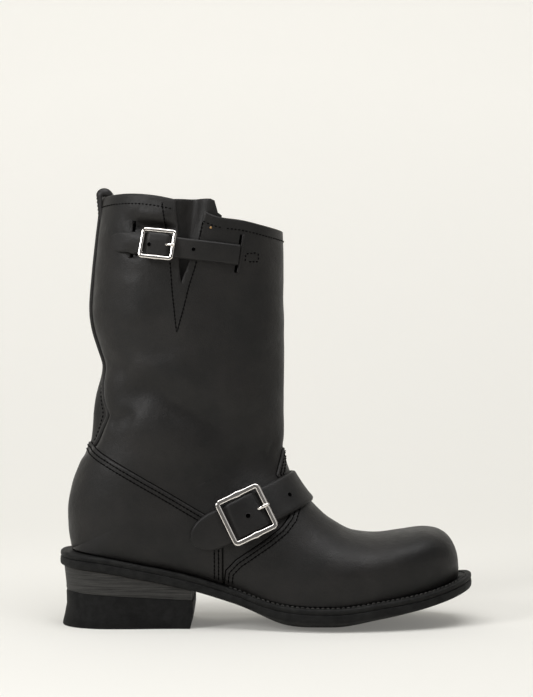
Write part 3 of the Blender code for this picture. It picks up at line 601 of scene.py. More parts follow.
class Skin:
    """The upper's outer skin as a fine grid with normals and distances to its edges."""

    def __init__(self):
        foot = [(1 + math.cos(math.pi * i / FOOT_ROWS)) / 2 for i in range(FOOT_ROWS + 1)]
        shaft = [-((i / SHAFT_ROWS) ** 1.06) for i in range(1, SHAFT_ROWS + 1)]
        known = {}
        places = []
        rows = []
        for low in foot + shaft:
            row = []
            for place in section(low, COLUMNS):
                key = tuple(round(value * 1e7) for value in place)
                if key not in known:
                    known[key] = len(places)
                    places.append(place)
                row.append(known[key])
            rows.append(row)
        self.rim = rows[-1]
        faces = []
        for a, b in zip(rows, rows[1:]):
            for j in range(COLUMNS):
                ring = []
                for corner in (a[j], a[j + 1], b[j + 1], b[j]):
                    if corner not in ring:
                        ring.append(corner)
                if len(ring) > 2:
                    faces.append(ring)
        points = np.array(places)
        normals = face_normals(points, faces)
        if normals[rows[-2][COLUMNS // 2]][0] < 0:
            faces = [ring[::-1] for ring in faces]
            normals = -normals
        near_seat = ease(points[:, 2] - np.array([seat_height(x) for x in points[:, 0]]), 0.001, 0.020)
        valley = seam_valley(points)
        relief = crease_relief(points) * near_seat
        points = points + normals * relief[:, None]
        points[:, 0] += valley
        self.shape_collar(points, normals)
        normals = face_normals(points, faces)
        rim = points[self.rim]
        top = np.array([rim[np.argmin(np.hypot(rim[:, 0] - p[0], rim[:, 1] - p[1]))][2] for p in points])
        outer = points[:, 1] < 0
        table = [points, normals]
        for name, ring in (("quarter", QUARTER), ("vamp", VAMP), ("slit", SLIT)):
            depth = region_depth(points, normals, ring)
            if name == "slit":
                depth = np.where(outer, depth, -0.05)
            table.append(depth[:, None])
        table.append((top - points[:, 2])[:, None])
        depth = np.where(outer, region_depth(points, normals, GUSSET), -0.05)
        table.append(depth[:, None])
        self.values = np.hstack(table)
        self.faces = faces
        self.tree = BVHTree.FromPolygons([Vector(p) for p in points], faces)

    def shape_collar(self, points, normals):
        """The front panel of the slit stands proud and a little lower than the back one."""
        outer = ease(-points[:, 1], 0.004, 0.020)
        high = ease(points[:, 2], 0.236, 0.292)
        proud = np.exp(-((points[:, 0] - 0.066) / 0.014) ** 2) * high * outer
        tucked = np.exp(-((points[:, 0] - 0.036) / 0.012) ** 2) * high * outer
        points += normals * (0.0020 * proud - 0.0004 * tucked)[:, None]
        points[:, 2] -= 0.0034 * proud
        wave = np.sin(points[:, 0] * 60.0) * 0.0006 * ease(points[:, 2], 0.26, 0.30)
        points[:, 2] += wave


def split(values, faces, column, level=0.0):
    """Cut every face along the line on which a field has a level."""
    rows = [values]
    extra = []
    made = {}
    field = values[:, column] - level
    field = np.where(np.abs(field) < 1e-7, 0.0, field)
    found = []
    for ring in faces:
        marks = [field[k] for k in ring]
        if min(marks) >= 0 or max(marks) <= 0:
            found.append(ring)
            continue
        above = []
        below = []
        for k, a in enumerate(ring):
            b = ring[(k + 1) % len(ring)]
            if field[a] >= 0:
                above.append(a)
            if field[a] <= 0:
                below.append(a)
            if field[a] * field[b] < 0:
                key = (min(a, b), max(a, b))
                if key not in made:
                    t = field[a] / (field[a] - field[b])
                    made[key] = len(values) + len(extra)
                    extra.append(values[a] * (1 - t) + values[b] * t)
                above.append(made[key])
                below.append(made[key])
        found += [part for part in (above, below) if len(part) > 2]
    if extra:
        rows.append(np.array(extra))
    return np.vstack(rows), found


def keep(values, faces, column, level=0.0, above=True):
    """The faces on one side of a level, with the points that they use."""
    sign = 1.0 if above else -1.0
    chosen = [ring for ring in faces if sign * sum(values[k, column] - level for k in ring) > 0]
    used = sorted({k for ring in chosen for k in ring})
    index = {k: i for i, k in enumerate(used)}
    return values[used], [[index[k] for k in ring] for ring in chosen]


def contour(values, faces, column, level):
    """Lines of (place, normal) along which a field has a level."""
    field = values[:, column] - level + 1e-9
    links = {}
    spots = {}
    for ring in faces:
        cuts = []
        for k, a in enumerate(ring):
            b = ring[(k + 1) % len(ring)]
            if field[a] * field[b] < 0:
                key = (min(a, b), max(a, b))
                t = field[a] / (field[a] - field[b])
                spots[key] = values[a, :6] * (1 - t) + values[b, :6] * t
                cuts.append(key)
        if len(cuts) == 2:
            links.setdefault(cuts[0], []).append(cuts[1])
            links.setdefault(cuts[1], []).append(cuts[0])
    lines = []
    left = set(links)
    for start in sorted(links, key=lambda key: len(links[key])):
        if start not in left:
            continue
        chain = [start]
        left.discard(start)
        while True:
            after = [key for key in links[chain[-1]] if key in left]
            if not after:
                break
            chain.append(after[0])
            left.discard(after[0])
        if len(chain) > 3:
            lines.append(np.array([spots[key] for key in chain]))
    return lines


def make(name, points, faces, slots, marks=None, sharp=None, tidy=True):
    """Object from points and faces, shaded smooth, with its materials."""
    data = bpy.data.meshes.new(name)
    data.from_pydata([tuple(p) for p in points], [], [list(f) for f in faces])
    for slot in slots:
        data.materials.append(slot)
    if marks is not None:
        data.polygons.foreach_set("material_index", marks)
    if tidy:
        work = bmesh.new()
        work.from_mesh(data)
        bmesh.ops.remove_doubles(work, verts=work.verts, dist=1e-7)
        bmesh.ops.recalc_face_normals(work, faces=work.faces)
        work.to_mesh(data)
        work.free()
    data.shade_smooth()
    if sharp:
        data.set_sharp_from_angle(angle=math.radians(sharp))
    thing = bpy.data.objects.new(name, data)
    bpy.context.scene.collection.objects.link(thing)
    return thing


def present(thing, slot, *nodes):
    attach(thing, "root")
    if nodes:
        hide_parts(*nodes)
    return thing


def edge_ways(points, normals, faces):
    """Open edges of a surface with, at each of their points, the way out of the surface."""
    count = {}
    for ring in faces:
        for k, a in enumerate(ring):
            b = ring[(k + 1) % len(ring)]
            count.setdefault((min(a, b), max(a, b)), []).append((a, b))
    open_edges = [pairs[0] for pairs in count.values() if len(pairs) == 1]
    out = {}
    for a, b in open_edges:
        normal = (normals[a] + normals[b]) / 2
        way = np.cross(points[b] - points[a], normal)
        for k in (a, b):
            out[k] = out.get(k, np.zeros(3)) + way
    for k in out:
        out[k] = out[k] / max(1e-12, np.linalg.norm(out[k]))
    return open_edges, out


def thicken(points, normals, faces, low, high, swell=0.0005):
    """Closed sheet between two offsets of a surface, with rounded open edges."""
    count = len(points)
    places = [points + normals * high, points + normals * low]
    rings = [list(ring) for ring in faces] + [[k + count for k in ring[::-1]] for ring in faces]
    marks = [0] * len(faces) + [1] * len(faces)
    open_edges, out = edge_ways(points, normals, faces)
    extra = []
    index = {}
    for k, way in out.items():
        index[k] = 2 * count + len(extra)
        for share in (0.25, 0.75):
            extra.append(points[k] + normals[k] * (high + (low - high) * share) + way * swell)
    for a, b in open_edges:
        chain_a = [a, index[a], index[a] + 1, a + count]
        chain_b = [b, index[b], index[b] + 1, b + count]
        for i in range(3):
            rings.append([chain_b[i], chain_a[i], chain_a[i + 1], chain_b[i + 1]])
            marks.append(0)
    places.append(np.array(extra))
    return np.vstack(places), rings, marks


def build_upper(skin, looks):
    values, faces = split(skin.values, skin.faces, FIELDS["slit"])
    values, faces = keep(values, faces, FIELDS["slit"], above=False)
    points, rings, marks = thicken(values[:, PLACE], values[:, NORMAL], faces, -WALL, 0.0, 0.0006)
    upper = make("boot_upper", points, rings, [looks["leather"], looks["lining"]], marks)
    return present(upper, "upper_leather", "upper")


def build_gusset(skin, looks):
    """Soft pleat behind the slit, folded inwards in its middle."""
    values, faces = split(skin.values, skin.faces, FIELDS["gusset"])
    values, faces = keep(values, faces, FIELDS["gusset"])
    points = values[:, PLACE].copy()
    normals = values[:, NORMAL]
    middle_x = 0.0405 + (points[:, 2] - 0.240) * 0.150
    high = ease(points[:, 2], 0.236, 0.296)
    fold = 0.0070 * np.exp(-((points[:, 0] - middle_x) / 0.0070) ** 2) * high
    points -= normals * fold[:, None]
    hem = values[:, FIELDS["hem"]]
    wanted = np.interp(points[:, 0], [row[0] for row in GUSSET_TOP], [row[1] for row in GUSSET_TOP])
    points[:, 2] += np.maximum(0.0, wanted - points[:, 2] - hem) * ease(0.045 - hem, 0.0, 0.045)
    low = -WALL - 0.0024
    points, rings, marks = thicken(points, normals, faces, low, low + 0.0012, 0.0004)
    gusset = make("boot_gusset", points, rings, [looks["leather"], looks["lining"]], marks)
    return present(gusset, "upper_leather", "gusset")


def build_overlay(skin, looks, name):
    """Layer of leather with a rounded edge that dips into the wall under it."""
    column = FIELDS[name]
    values, faces = split(skin.values, skin.faces, column)
    values, faces = keep(values, faces, column)
    for level in (0.0003, 0.0008):
        values, faces = split(values, faces, column, level)
    depth = np.clip(values[:, column] / 0.0008, 0, 1)
    high = OVERLAY * np.sqrt(1 - (1 - depth) ** 2) + 0.0002
    row = 0.0004 * (np.exp(-((values[:, column] - 0.0026) / 0.0007) ** 2))
    row += 0.0004 * (np.exp(-((values[:, column] - 0.0056) / 0.0007) ** 2))
    points = values[:, PLACE] + values[:, NORMAL] * (high - row * 0.4)[:, None]
    overlay = make("boot_%s" % name, points, faces, [looks["leather"]], tidy=False)
    present(overlay, "upper_leather", name)
    return overlay


def resample(line, pitch):
    """Evenly spaced (place, way, normal) along a line of places and normals."""
    steps = np.linalg.norm(np.diff(line[:, :3], axis=0), axis=1)
    gone = np.concatenate([[0.0], np.cumsum(steps)])
    count = int(gone[-1] / pitch)
    found = []
    for i in range(count):
        at = (i + 0.5) * pitch
        spot = np.array([np.interp(at, gone, line[:, c]) for c in range(line.shape[1])])
        ahead = np.array([np.interp(at + pitch * 0.3, gone, line[:, c]) for c in range(3)])
        way = ahead - spot[:3]
        if np.linalg.norm(way) > 1e-9:
            found.append((spot[:3], way / np.linalg.norm(way), spot[3:6]))
    return found


def stitch_faces(spots, long, thick, lift, points, rings):
    """One short rounded thread at each spot, lying along the seam and sunk at both ends."""
    sides = 6
    profile = ((-0.5, 0.35, -0.5), (-0.36, 0.9, 0.1), (0.0, 1.0, 0.35), (0.36, 0.9, 0.1), (0.5, 0.35, -0.5))
    for place, way, normal in spots:
        normal = normal / np.linalg.norm(normal)
        side = np.cross(way, normal)
        side = side / max(1e-9, np.linalg.norm(side))
        first = len(points)
        for share, wide, rise_at in profile:
            middle_at = place + way * (share * long) + normal * (lift + rise_at * thick)
            for k in range(sides):
                turn = 2 * math.pi * k / sides
                points.append(
                    middle_at + (side * math.cos(turn) + normal * math.sin(turn)) * (wide * thick / 2)
                )
        for ring in range(len(profile) - 1):
            for k in range(sides):
                a = first + ring * sides + k
                b = first + ring * sides + (k + 1) % sides
                rings.append([a, b, b + sides, a + sides])
        rings.append([first + k for k in range(sides)][::-1])
        rings.append([first + (len(profile) - 1) * sides + k for k in range(sides)])


def project(skin, line, side, lift=0.0):
    """Side-view line laid on the upper from one side, as places and normals."""
    found = []
    for x, z in smooth_line(line, 0.0012):
        place, normal = skin.tree.ray_cast(Vector((x, 0.25 * side, z)), Vector((0, -side, 0)))[:2]
        if place is not None:
            found.append(np.array([*(place + normal * lift), *normal]))
    return np.array(found)


def painted_shade_strip(line, half, lift, points, rings):
    """Thin strip of painted shade laid just over the leather along places and normals."""
    first = len(points)
    for i, spot in enumerate(line):
        way = line[min(i + 1, len(line) - 1)][:3] - line[max(i - 1, 0)][:3]
        side = np.cross(way, spot[3:6])
        side = side / max(1e-9, np.linalg.norm(side))
        for across in (-half, half):
            points.append(spot[:3] + side * across + spot[3:6] * lift)
    for i in range(len(line) - 1):
        a = first + 2 * i
        rings.append([a, a + 1, a + 3, a + 2])


def build_painted_seam_shade(skin, looks):
    """Painted shade: dark strips under the thread, along the edges of the overlays and along the slit's V."""
    points = []
    rings = []
    for name in ("quarter", "vamp"):
        # At each overlay: a painted contact shadow just outside its edge, and painted shade along both stitch rows
        for level, half, lift in ((-0.0003, 0.0004, 0.0001), (0.0026, 0.0003, OVERLAY + 0.0003),
                                  (0.0056, 0.0003, OVERLAY + 0.0003)):
            for line in contour(skin.values, skin.faces, FIELDS[name], level):
                part = line[line[:, 2] > np.array([seat_height(x) + 0.002 for x in line[:, 0]])]
                jumps = np.linalg.norm(np.diff(part[:, :3], axis=0), axis=1) > 0.006
                for piece in np.split(part, np.where(jumps)[0] + 1):
                    if len(piece) > 3:
                        painted_shade_strip(piece, half, lift, points, rings)
    # Painted shade along the stitched V of the slit
    for line in (V_BACK, V_FRONT):
        painted_shade_strip(project(skin, line, -1), 0.00025, 0.00012, points, rings)
    return present(make("boot_seam_grooves", points, rings, [looks["painted_shade_strip"]], tidy=False), "upper_leather")


def build_stitches(skin, looks):
    """Thread of the overlays' double rows, the hem, the slit's V and the strap's box."""
    points = []
    rings = []
    for name in ("quarter", "vamp"):
        for level in (0.0026, 0.0056):
            for line in contour(skin.values, skin.faces, FIELDS[name], level):
                spots = [s for s in resample(line, 0.0029) if s[0][2] > seat_height(s[0][0]) + 0.0035]
                spots = [s for s in spots if name != "vamp" or s[0][0] < 0.14]
                stitch_faces(spots, 0.0019, 0.00100, OVERLAY + 0.0001, points, rings)
    for line in contour(skin.values, skin.faces, FIELDS["hem"], 0.0066):
        spots = [s for s in resample(line, 0.0029) if not (s[0][1] < 0 and 0.0365 < s[0][0] < 0.0575)]
        stitch_faces(spots, 0.0019, 0.00085, 0.0, points, rings)
    box = SLOT_BOX + SLOT_BOX[:1]
    for line in (V_BACK, V_FRONT):
        stitch_faces(resample(project(skin, line, -1), 0.0028), 0.0018, 0.00095, 0.0, points, rings)
    for a, b in zip(box, box[1:]):
        stitch_faces(resample(project(skin, [a, b], -1), 0.0028), 0.0018, 0.00095, 0.0, points, rings)
    back = seam_line(skin, 0.0048)
    stitch_faces(resample(back, 0.0030), 0.0019, 0.00085, 0.0, points, rings)
    thread = make("boot_stitches", points, rings, [looks["thread"]], tidy=False)
    return present(thread, "strap_leather")


def seam_line(skin, aside, top=0.2905):
    """The back seam on the skin, or a line beside it, from the counter to the pull loop."""
    found = []
    heights = [row[0] for row in BACK_SEAM]
    for i in range(150):
        z = 0.1285 + (top - 0.1285) * i / 149
        y = float(np.interp(z, heights, [row[1] for row in BACK_SEAM])) + aside
        place, normal = skin.tree.ray_cast(Vector((-0.2, y, z)), Vector((1, 0, 0)))[:2]
        if place is not None:
            found.append([*place, *normal])
    found = np.array(found)
    kernel = np.ones(7) / 7
    for c in range(6):
        padded = np.pad(found[:, c], 3, mode="edge")
        found[:, c] = np.convolve(padded, kernel, "valid")
    return found


def band(name, line, profile, looks_at):
    """Ribbon along a line of places and normals, with a cross-section of (across, lift) points."""
    points = []
    rings = []
    count = len(profile)
    for i, spot in enumerate(line):
        way = line[min(i + 1, len(line) - 1)][:3] - line[max(i - 1, 0)][:3]
        way = way / np.linalg.norm(way)
        normal = spot[3:6] / np.linalg.norm(spot[3:6])
        side = np.cross(way, normal)
        side = side / np.linalg.norm(side)
        for across, lift in profile:
            points.append(spot[:3] + side * across + normal * lift)
    for i in range(len(line) - 1):
        for k in range(count):
            a = i * count + k
            b = i * count + (k + 1) % count
            rings.append([a, b, b + count, a + count])
    rings.append(list(range(count))[::-1])
    rings.append([(len(line) - 1) * count + k for k in range(count)])
    return make(name, points, rings, [looks_at])


def build_back_seam(skin, looks):
    """Raised piping in the back seam."""
    profile = []
    for k in range(13):
        turn = math.pi * k / 12
        profile.append((0.0022 * math.cos(turn), 0.0004 + 0.0019 * math.sin(turn) ** 0.8))
    profile += [(-0.0022, -0.0008), (0.0022, -0.0008)]
    piping = band("boot_back_piping", seam_line(skin, 0.0, 0.3050), profile, looks["strap"])
    return present(piping, "strap_leather", "back_piping")


def build_slot(skin, looks):
    """Painted shade of the slots that the collar strap runs through: a black band laid on the leather at each, with a
    raised lip beside it.
    """
    # Cross-section of the black band of painted shade at a slot
    dark = [(-0.0011, 0.00012), (0.0, 0.0002), (0.0011, 0.00012), (0.0011, -0.0006), (-0.0011, -0.0006)]
    lip = [(0.0009 * math.cos(math.pi * k / 8), 0.0008 * math.sin(math.pi * k / 8)) for k in range(9)]
    lip += [(-0.0009, -0.0008), (0.0009, -0.0008)]
    for name, places, aside in (("front", SLOT, 0.0016), ("rear", SLOT_REAR, -0.0016)):
        line = project(skin, places, -1)
        present(band(f"boot_slot_{name}", line, dark, looks["dark"]), "upper_leather")
        lip_line = line.copy()
        lip_line[:, 0] += aside
        present(band(f"boot_slot_lip_{name}", lip_line, lip, looks["leather"]), "upper_leather")


class Wrap:
    """Places points on the upper around a strap's line, by rays from a pivot inside the boot."""

    def __init__(self, skin, pivot, middle_at, slope):
        self.tree = skin.tree
        tilt = math.radians(slope)
        self.along = Vector((math.cos(tilt), 0.0, math.sin(tilt)))
        self.across = Vector((-math.sin(tilt), 0.0, math.cos(tilt)))
        self.pivot = Vector((forward(pivot[0]), 0.0, rise(pivot[1])))
        centre = Vector((forward(middle_at[0]), 0.0, rise(middle_at[1])))
        self.pivot += self.across * (centre - self.pivot).dot(self.across)
        self.reach = (centre - self.pivot).dot(self.along)
        self.angle = self.find_angle(self.reach)

    def find_angle(self, reach):
        """Turn at which the surface on the outer side lies at a reach along the strap."""
        low = -75.0
        high = 75.0
        for _ in range(40):
            half = (low + high) / 2
            if (self.touch(half, 0.0)[0] - self.pivot).dot(self.along) < reach:
                low = half
            else:
                high = half
        return low

    def touch(self, angle, shift):
        turn = math.radians(angle)
        way = self.along * math.sin(turn) - Vector((0, 1, 0)) * math.cos(turn)
        origin = self.pivot + self.across * shift
        place, normal = self.tree.ray_cast(origin, way)[:2]
        if normal.dot(way) < 0:
            normal = -normal
        return place, normal

    def frame_at(self, angle):
        """Place and directions of the buckle: the mean plane of the leather under it."""
        place = self.touch(angle, 0.0)[0]
        normal = Vector()
        for turn in (-12, -6, 0, 6, 12):
            for shift in (-0.008, 0.0, 0.008):
                normal += self.touch(angle + turn, shift)[1]
        normal.normalize()
        side = (self.across - normal * self.across.dot(normal)).normalized()
        along = side.cross(normal)
        if along.dot(self.along) < 0:
            along = -along
        return place, along, side, normal

    def strap(self, name, angles, width, base, core, edge, look):
        """Strip with soft edges around the upper, a rounded tip, and a hump over the buckle's bar."""
        profile = []
        for k in range(19):
            c = -1 + 2 * k / 18
            c = math.copysign(abs(c) ** 0.7, c)
            shoulder = max(0.0, (abs(c) - 0.86) / 0.14)
            profile.append((c, 1 - 0.62 * shoulder ** 2.2 + 0.05 * (1 - c * c)))
        profile += [(1.0, 0.12), (0.94, 0.0), (0.5, 0.0), (0.0, 0.0), (-0.5, 0.0), (-0.94, 0.0), (-1.0, 0.12)]
        middle_place = self.touch(self.angle, 0.0)[0]
        tip = self.touch(angles[0], 0.0)[0]
        spines = []
        for angle in angles:
            spot = self.touch(angle, 0.0)[0]
            away = (spot - middle_place).length
            hump = 0.5 + 0.5 * math.cos(math.pi * min(1.0, max(0.0, (away - core) / (edge - core))))
            t = min(1.0, (spot - tip).length / (STRAP_TIP * width))
            half = width / 2 * max(0.02, 1 - (1 - t) ** 2.0) ** 0.5
            row = []
            for c in (-1.0, -0.5, 0.0, 0.5, 1.0):
                place, normal = self.touch(angle, half * c)
                row.append([*place, *normal])
            spines.append((np.array(row), half, base + STRAP_RISE * hump))
        grid = np.array([row for row, half, lift in spines])
        for _ in range(3):
            grid[1:-1] = (grid[:-2] + 2 * grid[1:-1] + grid[2:]) / 4
        points = []
        for row, (old, half, lift) in zip(grid, spines):
            for c, high in profile:
                spot = [np.interp(c, (-1.0, -0.5, 0.0, 0.5, 1.0), row[:, k]) for k in range(6)]
                normal = np.array(spot[3:]) / np.linalg.norm(spot[3:])
                points.append(np.array(spot[:3]) + normal * (lift + high * STRAP_THICK))
        count = len(profile)
        rings = []
        for i in range(len(angles) - 1):
            for k in range(count):
                a = i * count + k
                b = i * count + (k + 1) % count
                rings.append([a, b, b + count, a + count])
        rings.append(list(range(count)))
        rings.append([(len(angles) - 1) * count + k for k in range(count)])
        return make(name, points, rings, [look], sharp=60)


def tube(name, line, radii, look, sides=14, flat=1.0, up=(0, -1, 0)):
    """Round bar along a line, with a radius at each point."""
    points = []
    rings = []
    for i, place in enumerate(line):
        way = (line[min(i + 1, len(line) - 1)] - line[max(i - 1, 0)]).normalized()
        side = way.cross(Vector(up)).normalized()
        over = side.cross(way)
        for k in range(sides):
            turn = 2 * math.pi * k / sides
            points.append(place + side * radii[i] * math.cos(turn) + over * radii[i] * flat * math.sin(turn))
    for i in range(len(line) - 1):
        for k in range(sides):
            a = i * sides + k
            b = i * sides + (k + 1) % sides
            rings.append([a, b, b + sides, a + sides])
    rings.append(list(range(sides))[::-1])
    rings.append([(len(line) - 1) * sides + k for k in range(sides)])
    return make(name, points, rings, [look])


def build_buckle(wrap, name, long, high, bar, base, looks, corner, swell):
    """Cast frame with softened edges, its middle bar under the strap, and the prong."""
    place, along, side, normal = wrap.frame_at(wrap.angle)
    over = base + STRAP_THICK + FRAME_ROOM - 0.0004

    def at(a, c, h):
        return place + along * a + side * c + normal * h

    def outer_reach(a, c, turn, depth):
        return at(a, c, 0) + along * (depth * math.cos(turn)) + side * (depth * math.sin(turn))

    loop = []
    steps = 8
    bend = corner * bar
    for quadrant in range(4):
        sign_a = 1 if quadrant in (0, 3) else -1
        sign_c = 1 if quadrant in (0, 1) else -1
        for step in range(steps + 1):
            turn = math.pi / 2 * (quadrant + step / steps)
            loop.append((sign_a * (long / 2 - bend), sign_c * (high / 2 - bend), turn))
        next_a = 1 if (quadrant + 1) % 4 in (0, 3) else -1
        next_c = 1 if (quadrant + 1) % 4 in (0, 1) else -1
        turn = math.pi / 2 * (quadrant + 1)
        for step in range(1, 12):
            t = step / 12
            a = (sign_a * (1 - t) + next_a * t) * (long / 2 - bend)
            c = (sign_c * (1 - t) + next_c * t) * (high / 2 - bend)
            loop.append((a, c, turn))
    points = []
    rings = []
    sides = 16
    for a, c, turn in loop:
        middle_bump = swell * math.exp(-(a / 0.0022) ** 2) * abs(math.sin(turn))
        half = bar / 2 * (1 + middle_bump)
        for k in range(sides):
            around = 2 * math.pi * k / sides
            wide = math.copysign(abs(math.cos(around)) ** 0.62, math.cos(around))
            tall = math.copysign(abs(math.sin(around)) ** 0.62, math.sin(around))
            depth = bend - bar / 2 + wide * half
            crown_at = over + BUCKLE_DEPTH / 2 + tall * BUCKLE_DEPTH / 2 * (1 + 0.25 * middle_bump)
            points.append(outer_reach(a, c, turn, depth) + normal * crown_at)
    count = len(loop)
    for i in range(count):
        for k in range(sides):
            a = i * sides + k
            b = i * sides + (k + 1) % sides
            c = ((i + 1) % count) * sides + (k + 1) % sides
            d = ((i + 1) % count) * sides + k
            rings.append([a, b, c, d])
    frame_look = make("boot_%s" % name, points, rings, [looks["nickel"]])
    present(frame_look, "nickel", name)
    inner = high / 2 - bar
    radius = 0.0009
    low = base + radius + 0.0002
    path = [at(0, -inner - bar * 0.4, over + BUCKLE_DEPTH * 0.5)]
    for share in (-1.0, -0.5, 0.0, 0.5, 1.0):
        spot, up = wrap.touch(wrap.angle, share * (inner - radius * 0.4))
        path.append(spot + up * low)
    path.append(at(0, inner + bar * 0.4, over + BUCKLE_DEPTH * 0.5))
    bar_look = tube("boot_%s_bar" % name, path, [radius] * len(path), looks["nickel"], up=normal)
    present(bar_look, "nickel")
    hole = long / 2 - bar - 0.0042
    top = base + STRAP_RISE * 0.5 + STRAP_THICK
    rest = over + BUCKLE_DEPTH + 0.0007
    line = [
        at(hole - 0.0014, 0, top - 0.0022),
        at(hole - 0.0006, 0, top + 0.0002),
        at(hole + 0.0008, 0, top + 0.0014),
        at(hole + 0.0024, 0, (top + rest) / 2 + 0.0010),
        at(long / 2 - bar * 0.95, 0, rest + 0.0002),
        at(long / 2 - bar * 0.55, 0, rest + 0.0003),
        at(long / 2 - bar * 0.15, 0, rest),
        at(long / 2 - bar * 0.02, 0, rest - 0.0003),
    ]
    fat = bar * 0.34
    radii = [fat, fat, fat, fat, fat, fat, fat * 0.96, fat * 0.80]
    prong = tube("boot_%s_prong" % name, line, radii, looks["nickel"], flat=0.8, up=normal)
    present(prong, "nickel", "%s_prong" % name)
    return hole, at


def build_hole(name, wrap, strap, reach, radius, looks):
    """Punched hole in a strap: a pressed rim around a black disc of painted shade for its depth."""
    tree = BVHTree.FromPolygons([v.co for v in strap.data.vertices], [p.vertices for p in strap.data.polygons])
    turn = math.radians(wrap.find_angle(wrap.reach + reach))
    way = wrap.along * math.sin(turn) - Vector((0, 1, 0)) * math.cos(turn)
    spot, normal = tree.ray_cast(wrap.pivot + way * 0.2, -way)[:2]
    if normal.dot(way) < 0:
        normal = -normal
    side = wrap.across.cross(normal).normalized()
    over = normal.cross(side)
    points = []
    rings = []
    sides = 20
    profile = ((0.0, 0.00010), (0.92, 0.00012), (1.0, 0.00030), (1.15, 0.00030), (1.4, -0.0004))
    for share, lift in profile:
        for k in range(sides):
            turn = 2 * math.pi * k / sides
            reach_at = max(share, 0.02) * radius
            spread_at = side * math.cos(turn) + over * math.sin(turn)
            points.append(spot + normal * lift + spread_at * reach_at)
    # The inner rings and the cap take the black painted shade, the outer rings the strap leather
    marks = []
    for ring in range(len(profile) - 1):
        for k in range(sides):
            a = ring * sides + k
            b = ring * sides + (k + 1) % sides
            rings.append([a, b, b + sides, a + sides])
            marks.append(0 if ring < 2 else 1)
    rings.append(list(range(sides)))
    marks.append(0)
    hole = make(name, points, rings, [looks["dark"], looks["strap"]], marks, tidy=False)
    return present(hole, "strap_leather")


def build_ankle(skin, looks):
    wrap = Wrap(skin, ANKLE_PIVOT, ANKLE_MIDDLE, ANKLE_SLOPE)
    base = GAP + OVERLAY + STRAP_SEAT
    tail = wrap.find_angle(wrap.reach - ANKLE_TAIL)
    angles = [tail + 12.0 * (i / 24) ** 1.8 for i in range(25)] + [tail + 12.0 + (i + 1) * 1.5 for i in range(158)]
    edge = ANKLE_BUCKLE_LONG / 2 - ANKLE_BUCKLE_BAR - BAR_ROOM
    strap = wrap.strap(
        "boot_ankle_strap", angles, ANKLE_STRAP_WIDTH, base, edge * 0.72, edge, looks["strap"]
    )
    present(strap, "strap_leather", "ankle_strap")
    high = ANKLE_STRAP_WIDTH + 2 * STRAP_ROOM + 2 * ANKLE_BUCKLE_BAR
    build_buckle(wrap, "ankle_buckle", ANKLE_BUCKLE_LONG, high, ANKLE_BUCKLE_BAR, base, looks, 1.15, 0.35)
    build_hole("boot_ankle_hole_1", wrap, strap, 0.0004, 0.0017, looks)
    build_hole("boot_ankle_hole_2", wrap, strap, 0.0300, 0.0016, looks)


def build_collar_strap(skin, looks):
    wrap = Wrap(skin, COLLAR_PIVOT, COLLAR_MIDDLE, COLLAR_SLOPE)
    base = GAP + STRAP_SEAT / 2
    tail = wrap.find_angle(wrap.reach - COLLAR_TAIL)
    end = wrap.find_angle(COLLAR_END)
    angles = [tail + 8.0 * (i / 20) ** 1.8 for i in range(21)]
    angles += [tail + 8.0 + (end - tail - 8.0) * (i + 1) / 92 for i in range(92)]
    edge = COLLAR_BUCKLE_LONG / 2 - COLLAR_BUCKLE_BAR - BAR_ROOM
    strap = wrap.strap(
        "boot_collar_strap", angles, COLLAR_STRAP_WIDTH, base, edge * 0.72, edge, looks["strap"]
    )
    present(strap, "strap_leather", "collar_strap")
    high = COLLAR_STRAP_WIDTH + 2 * STRAP_ROOM + 2 * COLLAR_BUCKLE_BAR
    build_buckle(wrap, "collar_buckle", COLLAR_BUCKLE_LONG, high, COLLAR_BUCKLE_BAR, base, looks, 1.15, 0.15)
    build_hole("boot_collar_hole_1", wrap, strap, -0.0042, 0.0014, looks)
    build_hole("boot_collar_hole_2", wrap, strap, 0.0240, 0.0013, looks)


def build_stud(skin, looks):
    """Small brass-coloured rivet at the corner of the collar's front panel."""
    spot = project(skin, STUD + [(STUD[0][0] + 0.0008, STUD[0][1])], -1)[0]
    place = Vector(spot[:3])
    normal = Vector(spot[3:])
    line = [place - normal * 0.0003, place + normal * 0.0002, place + normal * 0.0004]
    present(tube("boot_rivet", line, [0.0009, 0.0009, 0.0004], looks["brass"], up=(0, 0, 1)), "nickel")


